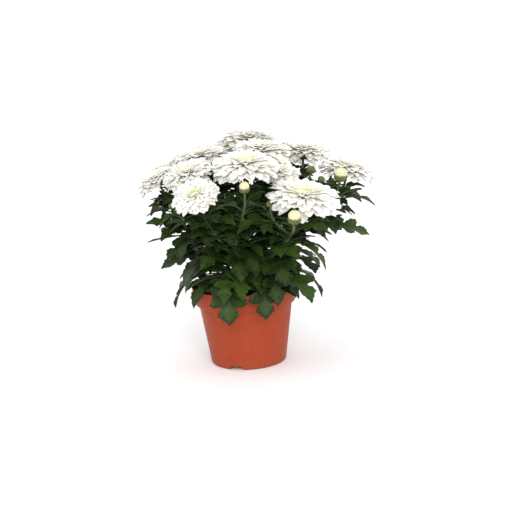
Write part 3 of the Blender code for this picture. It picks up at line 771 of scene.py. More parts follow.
# Blade as it is seen: half of its outline with lobes and teeth, and its veins on that half
BLADE_EDGE = (
    (0.0, 0.014), (0.06, 0.03), (0.10, 0.065), (0.125, 0.14), (0.12, 0.225), (0.165, 0.235), (0.185, 0.31),
    (0.225, 0.315), (0.30, 0.385), (0.315, 0.32), (0.365, 0.305), (0.345, 0.235), (0.355, 0.15),
    (0.395, 0.165), (0.415, 0.25), (0.455, 0.28), (0.475, 0.355), (0.52, 0.35), (0.60, 0.415), (0.61, 0.33),
    (0.66, 0.30), (0.635, 0.225), (0.645, 0.135), (0.685, 0.15), (0.72, 0.205), (0.765, 0.20), (0.83, 0.225),
    (0.845, 0.15), (0.905, 0.125), (0.91, 0.075), (0.96, 0.05),
)
BLADE_VEINS = (
    ((0.05, 0.0), (0.15, 0.17), (0.265, 0.335)), ((0.09, 0.08), (0.12, 0.195)), ((0.16, 0.19), (0.18, 0.275)),
    ((0.22, 0.27), (0.33, 0.28)), ((0.28, 0.0), (0.42, 0.18), (0.565, 0.365)),
    ((0.455, 0.225), (0.475, 0.315)), ((0.51, 0.30), (0.615, 0.28)), ((0.56, 0.0), (0.70, 0.145)),
    ((0.66, 0.0), (0.75, 0.11), (0.81, 0.19)), ((0.79, 0.0), (0.88, 0.10)),
)
UPPER_EDGE = (
    (0.0, 0.02), (0.08, 0.03), (0.15, 0.065), (0.185, 0.14), (0.19, 0.225), (0.235, 0.235), (0.26, 0.32),
    (0.315, 0.325), (0.42, 0.405), (0.425, 0.325), (0.48, 0.29), (0.465, 0.21), (0.49, 0.125), (0.53, 0.14),
    (0.565, 0.20), (0.61, 0.205), (0.69, 0.26), (0.70, 0.18), (0.79, 0.17), (0.80, 0.115), (0.885, 0.09),
    (0.90, 0.05),
)
UPPER_VEINS = (
    ((0.08, 0.0), (0.22, 0.17), (0.385, 0.35)), ((0.16, 0.11), (0.19, 0.19)), ((0.24, 0.19), (0.265, 0.28)),
    ((0.40, 0.0), (0.555, 0.14)), ((0.32, 0.28), (0.44, 0.265)), ((0.61, 0.0), (0.755, 0.13)),
    ((0.50, 0.0), (0.60, 0.12), (0.67, 0.22)), ((0.76, 0.0), (0.85, 0.075)),
)
YOUNG_EDGE = (
    (0.0, 0.02), (0.14, 0.06), (0.19, 0.21), (0.27, 0.31), (0.42, 0.405), (0.45, 0.29), (0.485, 0.13),
    (0.57, 0.195), (0.69, 0.26), (0.73, 0.165), (0.87, 0.10),
)
YOUNG_VEINS = (((0.08, 0.0), (0.22, 0.17), (0.37, 0.34)), ((0.50, 0.0), (0.60, 0.12), (0.665, 0.215)))
SHAPES_OF_A_KIND = 4
SHAPE_JITTER = 0.010  # blade lengths
SIDE_WIDTHS = (0.92, 1.06)
MIDRIB = ((0.02, 0.0), (0.96, 0.0))
HALF_WIDTH = 0.4  # of a blade, at its lobes
CORNER_CUT = 0.27  # of an edge
MESH_STEP = 0.085
YOUNG_MESH_STEP = 0.12
YOUNG_BLADE = 38 * MM
BLADE_THICKNESS = 0.38 * MM
FULL_BLADE = 55 * MM  # a smaller one has less of the three heights below
VEIN_SUNK = 0.75 * MM
VEIN_REACH = 0.05  # blade lengths from a vein to where the blade is full height
EDGE_WAVE = 1.3 * MM
WAVE_SHARES = (0.5, 1.1)  # a leaf has some share of it
WAVES = 17  # radians in a blade length
LOBE_DROOP = 1.6 * MM
DROOP_SHARES = (-0.2, 1.0)
RIB_POINTS = 8
RIB_SIDES = 6
STALK_RADII = (0.95 * MM, 0.8 * MM)
RIB_TIP_RADIUS = 0.22 * MM
RIB_SUNK = 0.8  # of its radius
RIB_TO = 0.93  # of the blade
NET_SHIFT = 0.37  # for each degree of azimuth, so that no two leaves have the same net
NET_CELLS = (34.0, 34.0, 0.0)  # along and across a blade
DARKEST = 0.95
DARKNESS_POWER = 0.6  # under 1, dark leaves are more common
LEAF_DARK = (0.010, 0.020, 0.004, 1)
LEAF_LIGHT = (0.036, 0.086, 0.008, 1)
LEAF_VEIN = (0.063, 0.104, 0.022, 1)
LEAF_UNDER = (0.047, 0.069, 0.030, 1)
LEAF_UNDER_VEIN = (0.09, 0.112, 0.055, 1)


def strip(root, out, up, rise, fall, length, roll=0.0, fold=0.0):
    """A bent strip that starts at root and runs out and up. Its slope turns from rise to fall, in degrees."""
    return {
        "root": root, "out": out, "up": up, "length": length,
        "rise": math.radians(rise), "fall": math.radians(fall),
        "roll": math.radians(roll), "fold": math.radians(fold),
    }


def on_strip(bent, along, across, lift):
    """The points at these distances along, across and above a bent strip."""
    along, across, lift = (np.asarray(v, float)[:, None] for v in (along, across, lift))
    turn = (bent["fall"] - bent["rise"]) / bent["length"]
    slope = bent["rise"] + turn * along
    reach = (np.sin(slope) - math.sin(bent["rise"])) / turn
    climb = (math.cos(bent["rise"]) - np.cos(slope)) / turn
    out, up = bent["out"], bent["up"]
    side, normal = np.cross(up, out), up * np.cos(slope) - out * np.sin(slope)
    roll = bent["roll"]
    rolled_side = side * math.cos(roll) + normal * math.sin(roll)
    rolled_normal = normal * math.cos(roll) - side * math.sin(roll)
    raised = np.abs(across) * math.sin(bent["fold"]) + lift
    midline = bent["root"] + reach * out + climb * up
    return midline + rolled_side * across * math.cos(bent["fold"]) + rolled_normal * raised


def cut_out(outline, rib):
    """The triangles of a flat outline with a rib line kept in it: its points and their corners."""
    edges = [(len(outline) + i, len(outline) + i + 1) for i in range(len(rib) - 1)]
    flat = [Vector(p) for p in (*outline, *rib)]
    points, _, faces = delaunay_2d_cdt(flat, edges, [list(range(len(outline)))], 1, 1e-7)[:3]
    return np.array([tuple(p) for p in points]), [tuple(f) for f in faces]


def blade(bent, flat, faces, thickness):
    """A flat shape laid on a bent strip and made solid, split into triangles alike on both faces."""
    shell = bmesh.new()
    raised = np.full(len(flat), thickness / 2)
    corners = [shell.verts.new(p) for p in on_strip(bent, flat[:, 0], flat[:, 1], raised)]
    for face in faces:
        shell.faces.new([corners[i] for i in face])
    shell.normal_update()
    bmesh.ops.solidify(shell, geom=shell.faces[:], thickness=thickness)
    return solid_of(shell)


def tube(path, start_radius, end_radius):
    """A six-sided tube along a path, tapering from one radius to the other."""
    curve = bpy.data.curves.new("path", "CURVE")
    curve.dimensions = "3D"
    curve.bevel_depth = 1
    curve.bevel_resolution = 1
    curve.use_fill_caps = True
    line = curve.splines.new("POLY")
    line.points.add(len(path) - 1)
    for point, place, radius in zip(line.points, path, np.linspace(start_radius, end_radius, len(path))):
        point.co = (*place, 1)
        point.radius = radius
    along = bpy.data.objects.new("path", curve)
    mesh = bpy.data.meshes.new_from_object(along)
    shell = bmesh.new()
    shell.from_mesh(mesh)
    bmesh.ops.remove_doubles(shell, verts=shell.verts, dist=WELD)
    bpy.data.objects.remove(along)
    bpy.data.curves.remove(curve)
    bpy.data.meshes.remove(mesh)
    return solid_of(shell)


def leaf_flat(leaf):
    """A leaf's plain outline with its petiole, and its triangles."""
    long, petiole = leaf["blade"], leaf["petiole"]
    shape, rib = (UPPER_LEAF_HALF, UPPER_LEAF_RIB) if long < UPPER_BLADE else (LEAF_HALF, LEAF_RIB)
    lobes = [(petiole + x * long, y * long) for x, y in shape]
    one_side = [(0.0, PETIOLE_HALF_WIDTH), (petiole, PETIOLE_HALF_WIDTH), *lobes]
    outline = [*((x, -y) for x, y in one_side), (petiole + long, 0.0), *reversed(one_side)]
    return cut_out(outline, [(petiole + x * long, 0.0) for x in rib])


def leaf_strip(leaf):
    out = level_direction(leaf["azimuth"])
    length = leaf["petiole"] + leaf["blade"]
    return strip(leaf["root"], out, UP, leaf["rise"], leaf["fall"], length, leaf["roll"], leaf["fold"])


def leaf_solid(leaf):
    return blade(leaf_strip(leaf), *leaf_flat(leaf), LEAF_THICKNESS)


def tree_of(solid):
    return BVHTree.FromPolygons([Vector(p) for p in solid[0]], solid[1])


def guard(name, half):
    """A space round a flower head or bud that is kept clear, from its half in shares of the head's radius."""
    place, facing, radius = head_frame(name)
    return tree_of(turned([(r * radius, h * radius) for r, h in half], GUARD_SIDES, place, facing))


def pot_guard():
    """The pot with its soil, a little larger, which leaves hang over and don't touch."""
    wall = [(radius + LEAF_CLEARANCE, height) for radius, height in outer_profile()[1:-1]]
    lip = POT_HEIGHT + LEAF_CLEARANCE
    mouth = [(POT_TOP_RADIUS, lip), (POT_TOP_RADIUS - 2 * WALL, lip), (0, SOIL_TOP)]
    return turned([*wall[:-1], *mouth], GUARD_POT_SIDES)


def bare_blade(solid, leaf):
    """The faces of a leaf's solid beyond half of its petiole."""
    points, faces = solid
    away = np.linalg.norm(points - leaf["root"], axis=1) > 0.5 * leaf["petiole"] + 2 * MM
    return points, [f for f in faces if all(away[i] for i in f)]


def wished(*values):
    """A leaf as the plant would grow it, lengths in metres and angles in degrees."""
    return dict(zip(("root", "azimuth", "blade", "petiole", "rise", "fall", "roll", "fold"), values))


def given_leaves(table):
    """The leaves of a table: each one's stem and first place."""
    owner = {head: stem for stem, heads in grown.items() for head in heads}
    wishes = []
    for head, height, azimuth, blade, petiole, rise, fall, roll in table:
        root = point_at_height(paths[head], height * MM)
        leaf = wished(root, azimuth, blade * MM, petiole * MM, rise, fall, roll, GIVEN_FOLD)
        wishes.append((owner[head], leaf))
    return wishes


def between(ends, share):
    return ends[0] + (ends[1] - ends[0]) * share


def zone_share(height):
    """How far up the leafy part a joint is."""
    return min(1.0, max(0.0, (height - LEAF_ZONE[0]) / LEAF_ZONE[1]))


def drawn(draw, slopes, swings, folds):
    """A leaf's slopes near these, its roll and its fold."""
    rise, fall, roll = (value + draw.uniform(-swing, swing) for value, swing in zip((*slopes, 0), swings))
    return rise, fall, roll, draw.uniform(*folds)


def leaf_wishes():
    """The leaves that the plant would grow, those of the outline first: each one's stem and first place."""
    draw = random.Random(LEAF_SEED)
    wishes = given_leaves(OUTLINE_LEAVES)
    for stem, heads in grown.items():
        for order, head in enumerate(heads):
            path = paths[head]
            low = path[0, 2] + SIDE_SHOOT_BARE if order else FIRST_LEAF_HEIGHT
            high = path[-1, 2] - (BLOOM_NECK if head in BLOOMS else BUD_NECK)
            count = max(1, int((high - low) / (LEAF_SPACING * (SIDE_SPACING if order else 1))))
            for k in range(count):
                height = low + (high - low) * (k + 0.5) / count
                root = point_at_height(path, height)
                outward = math.degrees(math.atan2(root[1], root[0]))
                turn = (GOLDEN_ANGLE * k + SHOOT_TURN * order + 180) % 360 - 180
                share = zone_share(height)
                blade = between(BLADES, share) * MM * draw.uniform(*BLADE_SPREAD)
                petiole = blade * between(PETIOLES, share)
                azimuth = outward + LEAF_FAN * turn + draw.uniform(-AZIMUTH_SWING, AZIMUTH_SWING)
                slopes = (between(RISES, share), between(FALLS, share))
                form = drawn(draw, slopes, LEAF_SWINGS, LEAF_FOLDS)
                wishes.append((stem, wished(root, azimuth, blade, petiole, *form)))
    return wishes


def grow_leaf(stem, wish, standing, attempts, shrink):
    """The leaf as it finds room: it turns, lifts or shrinks until it crosses nothing. None without room."""
    for attempt in range(attempts):
        leaf = dict(wish)
        leaf["azimuth"] += (-1) ** attempt * TURN_STEP * ((attempt + 1) // 2)
        leaf["fall"] += LIFT_STEP * (attempt % 3)
        leaf["blade"] *= 1 - shrink * attempt
        solid = leaf_solid(leaf)
        whole, beyond = tree_of(solid), tree_of(bare_blade(solid, leaf))
        crosses = any(
            (beyond if other == stem else whole).overlap(tree)
            for other, trees in standing.items()
            for tree in trees
        )
        if not crosses:
            standing[stem].append(whole)
            return leaf
    return None


def grow_leaves(wishes, standing, attempts, shrink):
    """{stem: its leaves} of those that find room."""
    leaves = {stem: [] for stem in STEMS}
    for stem, wish in wishes:
        leaf = grow_leaf(stem, wish, standing, attempts, shrink)
        if leaf:
            leaves[stem].append(leaf)
    return leaves


def small_leaf(root, azimuth, blade, petiole, slopes, draw):
    """A small leaf with this blade in mm, petiole in blades, and slopes near these."""
    form = drawn(draw, slopes, SMALL_SWINGS, SMALL_FOLDS)
    return wished(root, azimuth, blade * MM, petiole * blade * MM, *form)


def filling_wishes(leaves, draw):
    """Leaves that fill the plant: over the rim, from every joint, in the axils and close under the heads."""
    wishes = given_leaves(FRONT_LEAVES)
    for stem, heads in grown.items():
        blades, petioles, slopes = RIM_FORM
        for k in range(RIM_LEAVES):
            root = point_at_height(paths[heads[0]], draw.uniform(*RIM_JOINTS) * MM)
            azimuth = STEMS[stem][0] + (k - (RIM_LEAVES - 1) / 2) * RIM_FAN / RIM_LEAVES
            azimuth += draw.uniform(-RIM_SWING, RIM_SWING)
            form = (draw.uniform(*blades), draw.uniform(*petioles), slopes)
            wishes.append((stem, small_leaf(root, azimuth, *form, draw)))
        for head in heads:
            path = paths[head]
            low = max(FILL_FROM, path[0, 2] + FILL_BARE[0])
            for k, height in enumerate(np.arange(low, path[-1, 2] - FILL_BARE[1], FILL_SPACING)):
                share = zone_share(height)
                blade = between(FILL_BLADES, share) * draw.uniform(*FILL_SPREAD)
                azimuth = GOLDEN_ANGLE * k + draw.uniform(-FILL_SWING, FILL_SWING)
                slopes = (between(FILL_RISES, share), between(FILL_FALLS, share))
                root = point_at_height(path, height)
                wishes.append((stem, small_leaf(root, azimuth, blade, FILL_PETIOLE, slopes, draw)))
            blades, petiole, slopes = BRACT_FORM
            for k in range(BLOOM_BRACTS if head in BLOOMS else BUD_BRACTS):
                root = point_at_height(path, path[-1, 2] - draw.uniform(*BRACT_JOINTS) * MM)
                azimuth = GOLDEN_ANGLE * k + draw.uniform(-FILL_SWING, FILL_SWING)
                wishes.append((stem, small_leaf(root, azimuth, draw.uniform(*blades), petiole, slopes, draw)))
        blades, petiole, slopes = AXIL_FORM
        for leaf in np.repeat(leaves[stem], AXIL_LEAVES):
            azimuth = leaf["azimuth"] + draw.uniform(-AXIL_FAN, AXIL_FAN)
            blade = draw.uniform(*blades)
            wishes.append((stem, small_leaf(leaf["root"], azimuth, blade, petiole, slopes, draw)))
    return wishes


def rounded_ring(ring):
    """A closed outline with its corners cut once, so that lobes and teeth have soft tips."""
    after = np.roll(ring, -1, axis=0)
    near, far = 1 - CORNER_CUT, CORNER_CUT
    return np.stack([near * ring + far * after, far * ring + near * after], axis=1).reshape(-1, 2)


def spaced(line, step):
    """The points along a line of straight runs, about a step apart."""
    points = [line[0]]
    for start, end in zip(line, line[1:]):
        pieces = max(1, round(math.dist(start, end) / step))
        run = np.array(end) - start
        points += [tuple(np.array(start) + run * k / pieces) for k in range(1, pieces + 1)]
    return points


def far_from(points, starts, ends):
    """Each point's distance from the nearest of some straight runs."""
    runs = ends - starts
    share = ((points[:, None] - starts) * runs).sum(2) / np.maximum((runs**2).sum(1), 1e-12)
    nearest = starts + np.clip(share, 0, 1)[..., None] * runs
    return np.linalg.norm(points[:, None] - nearest, axis=2).min(1)


def leaf_shape(edge, veins, step, draw):
    """A blade's flat mesh in blade lengths: points, faces, rim edges, and each point's way to a vein."""
    sides = []
    lines = [spaced(MIDRIB, step)]
    for way in (1, -1):
        wide = way * draw.uniform(*SIDE_WIDTHS)
        shifts = [(SHAPE_JITTER * draw.uniform(-1, 1), SHAPE_JITTER * draw.uniform(-1, 1)) for _ in edge]
        sides.append([
            (x + along, wide * (y + min(1, 9 * y) * out))
            for (x, y), (along, out) in zip(edge, shifts)
        ])
        lines += [spaced([(x, wide * y) for x, y in vein], step) for vein in veins]
    ring = rounded_ring(np.array([*sides[1], (1.0, 0.0), *reversed(sides[0])]))
    flat = [tuple(p) for p in ring]
    kept = []
    for line in lines:
        kept += [(len(flat) + k, len(flat) + k + 1) for k in range(len(line) - 1)]
        flat += line
    starts = np.array([point for line in lines for point in line[:-1]])
    ends = np.array([point for line in lines for point in line[1:]])
    grid = np.array([
        (x + 0.5 * step * (row % 2), y)
        for row, y in enumerate(np.arange(-0.45, 0.45, 0.866 * step))
        for x in np.arange(0.02, 1, step)
    ])
    off_veins = far_from(grid, starts, ends) > 0.4 * step
    off_rim = far_from(grid, ring, np.roll(ring, -1, axis=0)) > 0.35 * step
    flat += [tuple(p) for p in grid[off_veins & off_rim]]
    corners = [Vector(p) for p in flat]
    points, _, faces = delaunay_2d_cdt(corners, kept, [list(range(len(ring)))], 1, 1e-6)[:3]
    points = np.array([tuple(p) for p in points])
    faces = [tuple(f) for f in faces]
    used = sorted({corner for f in faces for corner in f})
    order = {old: new for new, old in enumerate(used)}
    faces = [tuple(order[corner] for corner in f) for f in faces]
    edges = {(a, b) for f in faces for a, b in zip(f, (*f[1:], f[0]))}
    rim = sorted((a, b) for a, b in edges if (b, a) not in edges)
    points = points[used]
    return {"points": points, "faces": faces, "rim": rim, "vein": far_from(points, starts, ends)}


def both_faces(faces, rim, size):
    """The faces of a closed sheet whose upper points are followed by as many lower ones."""
    lower = [tuple(size + corner for corner in reversed(face)) for face in faces]
    return [*faces, *lower, *((size + a, size + b, b, a) for a, b in rim)]


def heap_sheet(pile, bent, form, above, below, faces, finish, place, tone):
    """Lays a closed sheet on a pile. Its form is along, across and off a bent strip."""
    along, across, lift = form
    sides = [on_strip(bent, along, across, lift + raised) for raised in (above, -below)]
    heap(pile, np.vstack(sides), faces, finish, np.vstack([place, place]), tone)


def heap_leaf(pile, leaf, shape, tone, finish):
    """Lays a leaf's blade and its stalk with the midrib on a pile."""
    bent = leaf_strip(leaf)
    long, petiole = leaf["blade"], leaf["petiole"]
    x, y = shape["points"].T
    wave, droop = leaf_draw.uniform(*WAVE_SHARES), leaf_draw.uniform(*DROOP_SHARES)
    phase = leaf_draw.uniform(0, 6.28)
    size = long / FULL_BLADE
    edge = np.abs(y) / HALF_WIDTH
    risen = VEIN_SUNK * (1 - np.exp(-((shape["vein"] / VEIN_REACH) ** 2)))
    risen += EDGE_WAVE * wave * edge * np.sin(WAVES * x + phase + np.sign(y) * 1.1)
    risen -= LOBE_DROOP * droop * edge**2
    count = len(x)
    tones = np.zeros((2 * count, 3))
    tones[:, 0] = tone
    tones[count:, 1] = 1
    tones[:, 2] = leaf["azimuth"] * NET_SHIFT
    form = (petiole + x * long, y * long, size * risen)
    faces = both_faces(shape["faces"], shape["rim"], count)
    place = np.stack([x, y, shape["vein"]], axis=1)
    heap_sheet(pile, bent, form, BLADE_THICKNESS / 2, BLADE_THICKNESS / 2, faces, finish, place, tones)
    along = np.linspace(0, petiole + RIB_TO * long, RIB_POINTS)
    stations = (0, petiole, along[-1])
    radii = np.interp(along, stations, (*STALK_RADII, RIB_TIP_RADIUS)) * min(1, 0.45 + 0.55 * size)
    sunk = np.interp(along, stations, (0, -RIB_SUNK, -RIB_SUNK)) * radii
    points, sides = swept(on_strip(bent, along, np.zeros(RIB_POINTS), sunk), radii, RIB_SIDES)
    heap(pile, points, sides, finish, np.tile((0.5, 0.0, 0.0), (len(points), 1)), (tone, 0.6, 0.0))


def leaf_finish():
    """Upper side green with veins and a soft sheen, under side felted. The points say which, and where."""
    made, tree, shader = new_material("leaf", Specular_IOR_Level=0.16)
    tone = told(tree, "tone")
    line = ramp(tree, told(tree, "place")["Z"], 0.016, 0.003)
    cloud = cloudy(tree, size=7 * MM, contrast=0.9)
    dark = add_node(tree, "Clamp", {0: maths(tree, "MULTIPLY_ADD", cloud, 0.35, tone["X"])}).outputs[0]
    green = mixed(tree, dark, LEAF_LIGHT, LEAF_DARK)
    upper = mixed(tree, maths(tree, "MULTIPLY", line, 0.3), green, LEAF_VEIN)
    under = mixed(tree, maths(tree, "MULTIPLY", line, 0.5), LEAF_UNDER, LEAF_UNDER_VEIN)
    shift = add_node(tree, "CombineXYZ", {"Z": tone["Z"]}).outputs[0]
    place = add_node(tree, "Attribute", attribute_name="place").outputs["Vector"]
    cells = {0: place, 1: NET_CELLS, 2: shift}
    flat = add_node(tree, "VectorMath", cells, operation="MULTIPLY_ADD").outputs[0]
    net = add_node(tree, "TexVoronoi", {"Vector": flat, "Scale": 1.0}, feature="DISTANCE_TO_EDGE")
    blister = ramp(tree, net.outputs["Distance"], 0.0, 0.28)
    relief = grainy(tree, size=0.5 * MM, depth=0.06 * MM)
    bump = {"Height": blister, "Distance": 0.16 * MM, "Strength": 0.9, "Normal": relief}
    feed(
        shader,
        Base_Color=mixed(tree, tone["Y"], upper, under),
        Roughness=ramp(tree, tone["Y"], 0.0, 1.0, low=0.40, high=0.72),
        Normal=add_node(tree, "Bump", bump).outputs["Normal"],
    )
    return made


standing = {"": [tree_of(pot_guard())]}
standing[""] += [guard(name, HEAD_GUARD_HALF) for name in BLOOMS]
standing[""] += [guard(name, BUD_GUARD_HALF) for name in BUDS]
for stem, heads in grown.items():
    standing[stem] = [tree_of(tube(paths[head], *SHOOT_GUARD_RADII)) for head in heads]
leaves = grow_leaves(leaf_wishes(), standing, attempts=15, shrink=0.02)
standing[""] += [guard(name, SKIRT_GUARD_HALF) for name in BLOOMS]
filling = {stem: [] for stem in STEMS}
for seed in FILLING_SEEDS:
    wishes = filling_wishes(leaves, random.Random(seed))
    for stem, more in grow_leaves(wishes, standing, attempts=12, shrink=0.05).items():
        filling[stem] += more

leaf_draw = random.Random(8)
large_shapes, upper_shapes, young_shapes = (
    [leaf_shape(edge, veins, step, leaf_draw) for _ in range(SHAPES_OF_A_KIND)]
    for edge, veins, step in (
        (BLADE_EDGE, BLADE_VEINS, MESH_STEP),
        (UPPER_EDGE, UPPER_VEINS, MESH_STEP),
        (YOUNG_EDGE, YOUNG_VEINS, YOUNG_MESH_STEP),
    )
)
for stem in STEMS:
    for leaf in (*leaves[stem], *filling[stem]):
        shapes = upper_shapes if leaf["blade"] < UPPER_BLADE else large_shapes
        if leaf["blade"] < YOUNG_BLADE:
            shapes = young_shapes
        shape = leaf_draw.choice(shapes)
        heap_leaf(stem_piles[stem], leaf, shape, DARKEST * leaf_draw.random() ** DARKNESS_POWER, 1)


# Green cups and closed green buds
# Under each head and bud sits a cup of small pointed scales in rings, grown in one piece with the shoot. A
# green bud is the same cup still closed over its petals. The scales have a thin papery brown edge.

CUP_RADIUS = 6.4 * MM
CUP_HALF = ((0.25, -1.1), (0.8, -0.65), (1.0, 0.0))
BUD_CUP_HALF = ((0.3, -0.75), (0.8, -0.45), (0.9, 0.0))
GREEN_BUD_HALF = ((0.4, -0.9), (1.0, -0.3), (0.95, 0.4), (0.4, 0.95))
CUP_SIDES = 24
STRIP_ROWS = 8
STRIP_COLUMNS = 5
# Rings of scales on a cup, in shares of its radius: count, root radius and height, length, half-width, slopes
CUP_SCALES = (
    (12, 0.42, -0.98, 0.95, 0.20, 38, 68),
    (12, 0.70, -0.72, 0.95, 0.20, 52, 80),
    (12, 0.86, -0.42, 0.80, 0.20, 68, 86),
)
BUD_SCALES = ((10, 0.55, -0.62, 0.85, 0.26, 30, 78), (10, 0.80, -0.36, 0.85, 0.26, 62, 92))
CLOSED_SCALES = (
    (8, 0.45, -0.86, 1.1, 0.36, 20, 84),
    (8, 0.86, -0.5, 1.25, 0.38, 62, 122),
    (8, 0.98, -0.1, 1.25, 0.36, 84, 150),
)
SCALE_TAPER = (0.16, 0.96)  # its outline is this part of a sine's half turn
SCALE_THICKNESS = 0.10  # of that radius, at its root
SCALE_HOLLOW = 0.35  # of its half-width
CLOSED_BODY = 0.93  # of a green bud, under its scales
SCALE_COLOUR = (0.085, 0.140, 0.035, 1)
SCALE_TIP = (0.130, 0.175, 0.060, 1)
SCALE_EDGE = (0.160, 0.100, 0.045, 1)


def strip_faces(rows, columns):
    """The faces of a closed strip of rows across and columns along, its upper points first."""
    faces = [
        (i * columns + j, (i + 1) * columns + j, (i + 1) * columns + j + 1, i * columns + j + 1)
        for i in range(rows - 1)
        for j in range(columns - 1)
    ]
    last = (rows - 1) * columns
    rim = [(j + 1, j) for j in range(columns - 1)]
    rim += [(last + j, last + j + 1) for j in range(columns - 1)]
    rim += [(i * columns, (i + 1) * columns) for i in range(rows - 1)]
    rim += [((i + 1) * columns + columns - 1, i * columns + columns - 1) for i in range(rows - 1)]
    return both_faces(faces, rim, rows * columns)


def strip_grid(rows_at, columns):
    """Where the points of such a strip lie: along it, row by row, and across from -1 to 1."""
    return np.repeat(rows_at, columns), np.tile(np.linspace(-1, 1, columns), len(rows_at))


SCALE_GRID = strip_grid(np.linspace(0, 1, STRIP_ROWS), STRIP_COLUMNS)
SCALE_FACES = strip_faces(STRIP_ROWS, STRIP_COLUMNS)


def heap_scales(pile, name, rings, size, finish, draw):
    """Rings of small pointed scales that hug a cup or a bud."""
    centre, facing, _ = head_frame(name)
    turn_head = np.array(turn_to(facing))
    along, across = SCALE_GRID
    place = np.stack([along, across, np.zeros(len(along))], axis=1)
    taper = np.sin(math.pi * between(SCALE_TAPER, along)) ** 0.8
    thick = SCALE_THICKNESS * size * (1 - 0.5 * along)
    for order, (count, radius, height, length, half_width, rise, fall) in enumerate(rings):
        for k in range(count):
            out = turn_head @ level_direction(360 * (k + 0.5 * (order % 2)) / count + draw.uniform(-4, 4))
            root = centre + (radius * out + height * facing) * size
            slopes = (rise + draw.uniform(-4, 4), fall + draw.uniform(-6, 6))
            bent = strip(root, out, facing, *slopes, length * size)
            wide = half_width * size * taper
            form = (along * length * size, across * wide, -SCALE_HOLLOW * wide * across**2)
            heap_sheet(pile, bent, form, 0, thick, SCALE_FACES, finish, place, (draw.random(), 0, 0))


def scale_finish():
    """Matt green scales, lighter at the tip, with a brown papery edge."""
    made, tree, shader = new_material("cup scales", Roughness=0.6, Specular_IOR_Level=0.35)
    place = told(tree, "place")
    green = mixed(tree, place["X"], SCALE_COLOUR, SCALE_TIP)
    edge = ramp(tree, maths(tree, "ABSOLUTE", place["Y"]), 0.72, 1.0, high=0.75)
    feed(
        shader,
        Base_Color=mixed(tree, edge, green, SCALE_EDGE),
        Normal=grainy(tree, size=0.4 * MM, depth=0.08 * MM),
    )
    return made


def on_head(name, half, height, sides):
    """A solid turned about a head's axis, from its half in shares of the head's radius, at a height."""
    place, facing, radius = head_frame(name)
    return turned([(r * radius, height + h * radius) for r, h in half], sides, place, facing)


cup_draw = random.Random(3)
stem_finishes = [shoot_finish(), leaf_finish(), scale_finish()]
for number, (stem, heads) in enumerate(grown.items(), 1):
    pile = stem_piles[stem]
    for name in heads:
        place, facing, radius = head_frame(name)
        if name in BLOOMS:
            bowl = eased([(r * CUP_RADIUS, h * CUP_RADIUS) for r, h in CUP_HALF], 2 * MM)
            heap(pile, *turned(bowl, CUP_SIDES, place, facing), 2)
            heap_scales(pile, name, CUP_SCALES, CUP_RADIUS, 2, cup_draw)
        elif BUDS[name][-1]:
            bowl = eased(BUD_CUP_HALF, 0.2)
            heap(pile, *on_head(name, bowl, 0, CUP_SIDES), 2)
            heap_scales(pile, name, BUD_SCALES, radius, 2, cup_draw)
        else:
            ball = [(CLOSED_BODY * r, h) for r, h in eased(GREEN_BUD_HALF, 0.35)]
            heap(pile, *on_head(name, ball, 0, CUP_SIDES), 2)
            heap_scales(pile, name, CLOSED_SCALES, radius, 2, cup_draw)
    piece_of(f"shoots_and_leaves_{number}", pile, stem_finishes, stem)


# White blooms
# Double flower heads: petals in a spiral from the lowest, longest ones, which droop a little, to short ones
# that stand round the eye. Soft white and thin enough to let light through, greenish cream at their roots.

PETALS = 160
PETAL_COLUMNS = 5
PETAL_ROWS_AT = (0.0, 0.18, 0.40, 0.60, 0.77, 0.90, 1.0)  # of its length
INNER_FROM = 0.68  # of the spiral, where the small petals begin
INNER_COLUMNS = 3
INNER_ROWS_AT = (0.0, 0.3, 0.6, 0.85, 1.0)
PETAL_THICKNESS = 0.30 * MM
CORE_HALF = ((0.15, 0.0), (0.22, 0.06), (0.15, 0.12))
CORE_SIDES = 24
# A petal's form by its place in the spiral, from the outermost at 0: length, half-width, distance and height
# of its root in head radii, and its slopes at root and tip in degrees
SPIRAL = (0.0, 0.16, 0.34, 0.55, 0.74, 0.89, 1.0)
PETAL_LENGTH = (0.96, 1.01, 0.98, 0.82, 0.55, 0.29, 0.16)
PETAL_HALF_WIDTH = (0.14, 0.14, 0.135, 0.125, 0.10, 0.065, 0.042)
PETAL_ROOT_RADIUS = (0.05, 0.05, 0.06, 0.09, 0.12, 0.13, 0.12)
PETAL_ROOT_HEIGHT = (0.02, 0.03, 0.05, 0.08, 0.11, 0.12, 0.13)
PETAL_RISE = (-2, 5, 13, 24, 38, 55, 75)
PETAL_FALL = (-36, -23, -12, -3, 16, 52, 95)
PETAL_FORM = (PETAL_LENGTH, PETAL_HALF_WIDTH, PETAL_ROOT_RADIUS, PETAL_ROOT_HEIGHT, PETAL_RISE, PETAL_FALL)
PETAL_FOOT = 0.30  # of its half-width
BROADEST_AT = 0.68  # of its length
BLUNT_FROM = 0.80
BLUNTED = 0.52  # how much narrower it is at its end
BROAD_HEAD = 32 * MM  # petals are about as broad on all heads, as on one of this radius
ROOT_SHARE_OF_LIFT = 0.4
# By how much petals differ: in place round the head, slopes and roll, all in degrees, and in size
PETAL_TURN_SWING = 5
PETAL_SWINGS = (4, 8)
PETAL_ROLL_SWING = 9
PETAL_LENGTH_SPREAD = (0.90, 1.03)
PETAL_WIDTH_SPREAD = (0.88, 1.1)
NEAR_HEADS = 1.15  # times the two radii, from where heads can't meet
PETAL_ESCAPES = ((0, 1), (9, 1), (-8, 1), (18, 1), (28, 0.95), (12, 0.85), (0, 0.75), (24, 0.75), (0, 0.55))
PETAL_WHITE = (0.935, 0.918, 0.835, 1)
PETAL_CREAM = (0.90, 0.885, 0.71, 1)
PETAL_HEART = (0.83, 0.83, 0.56, 1)


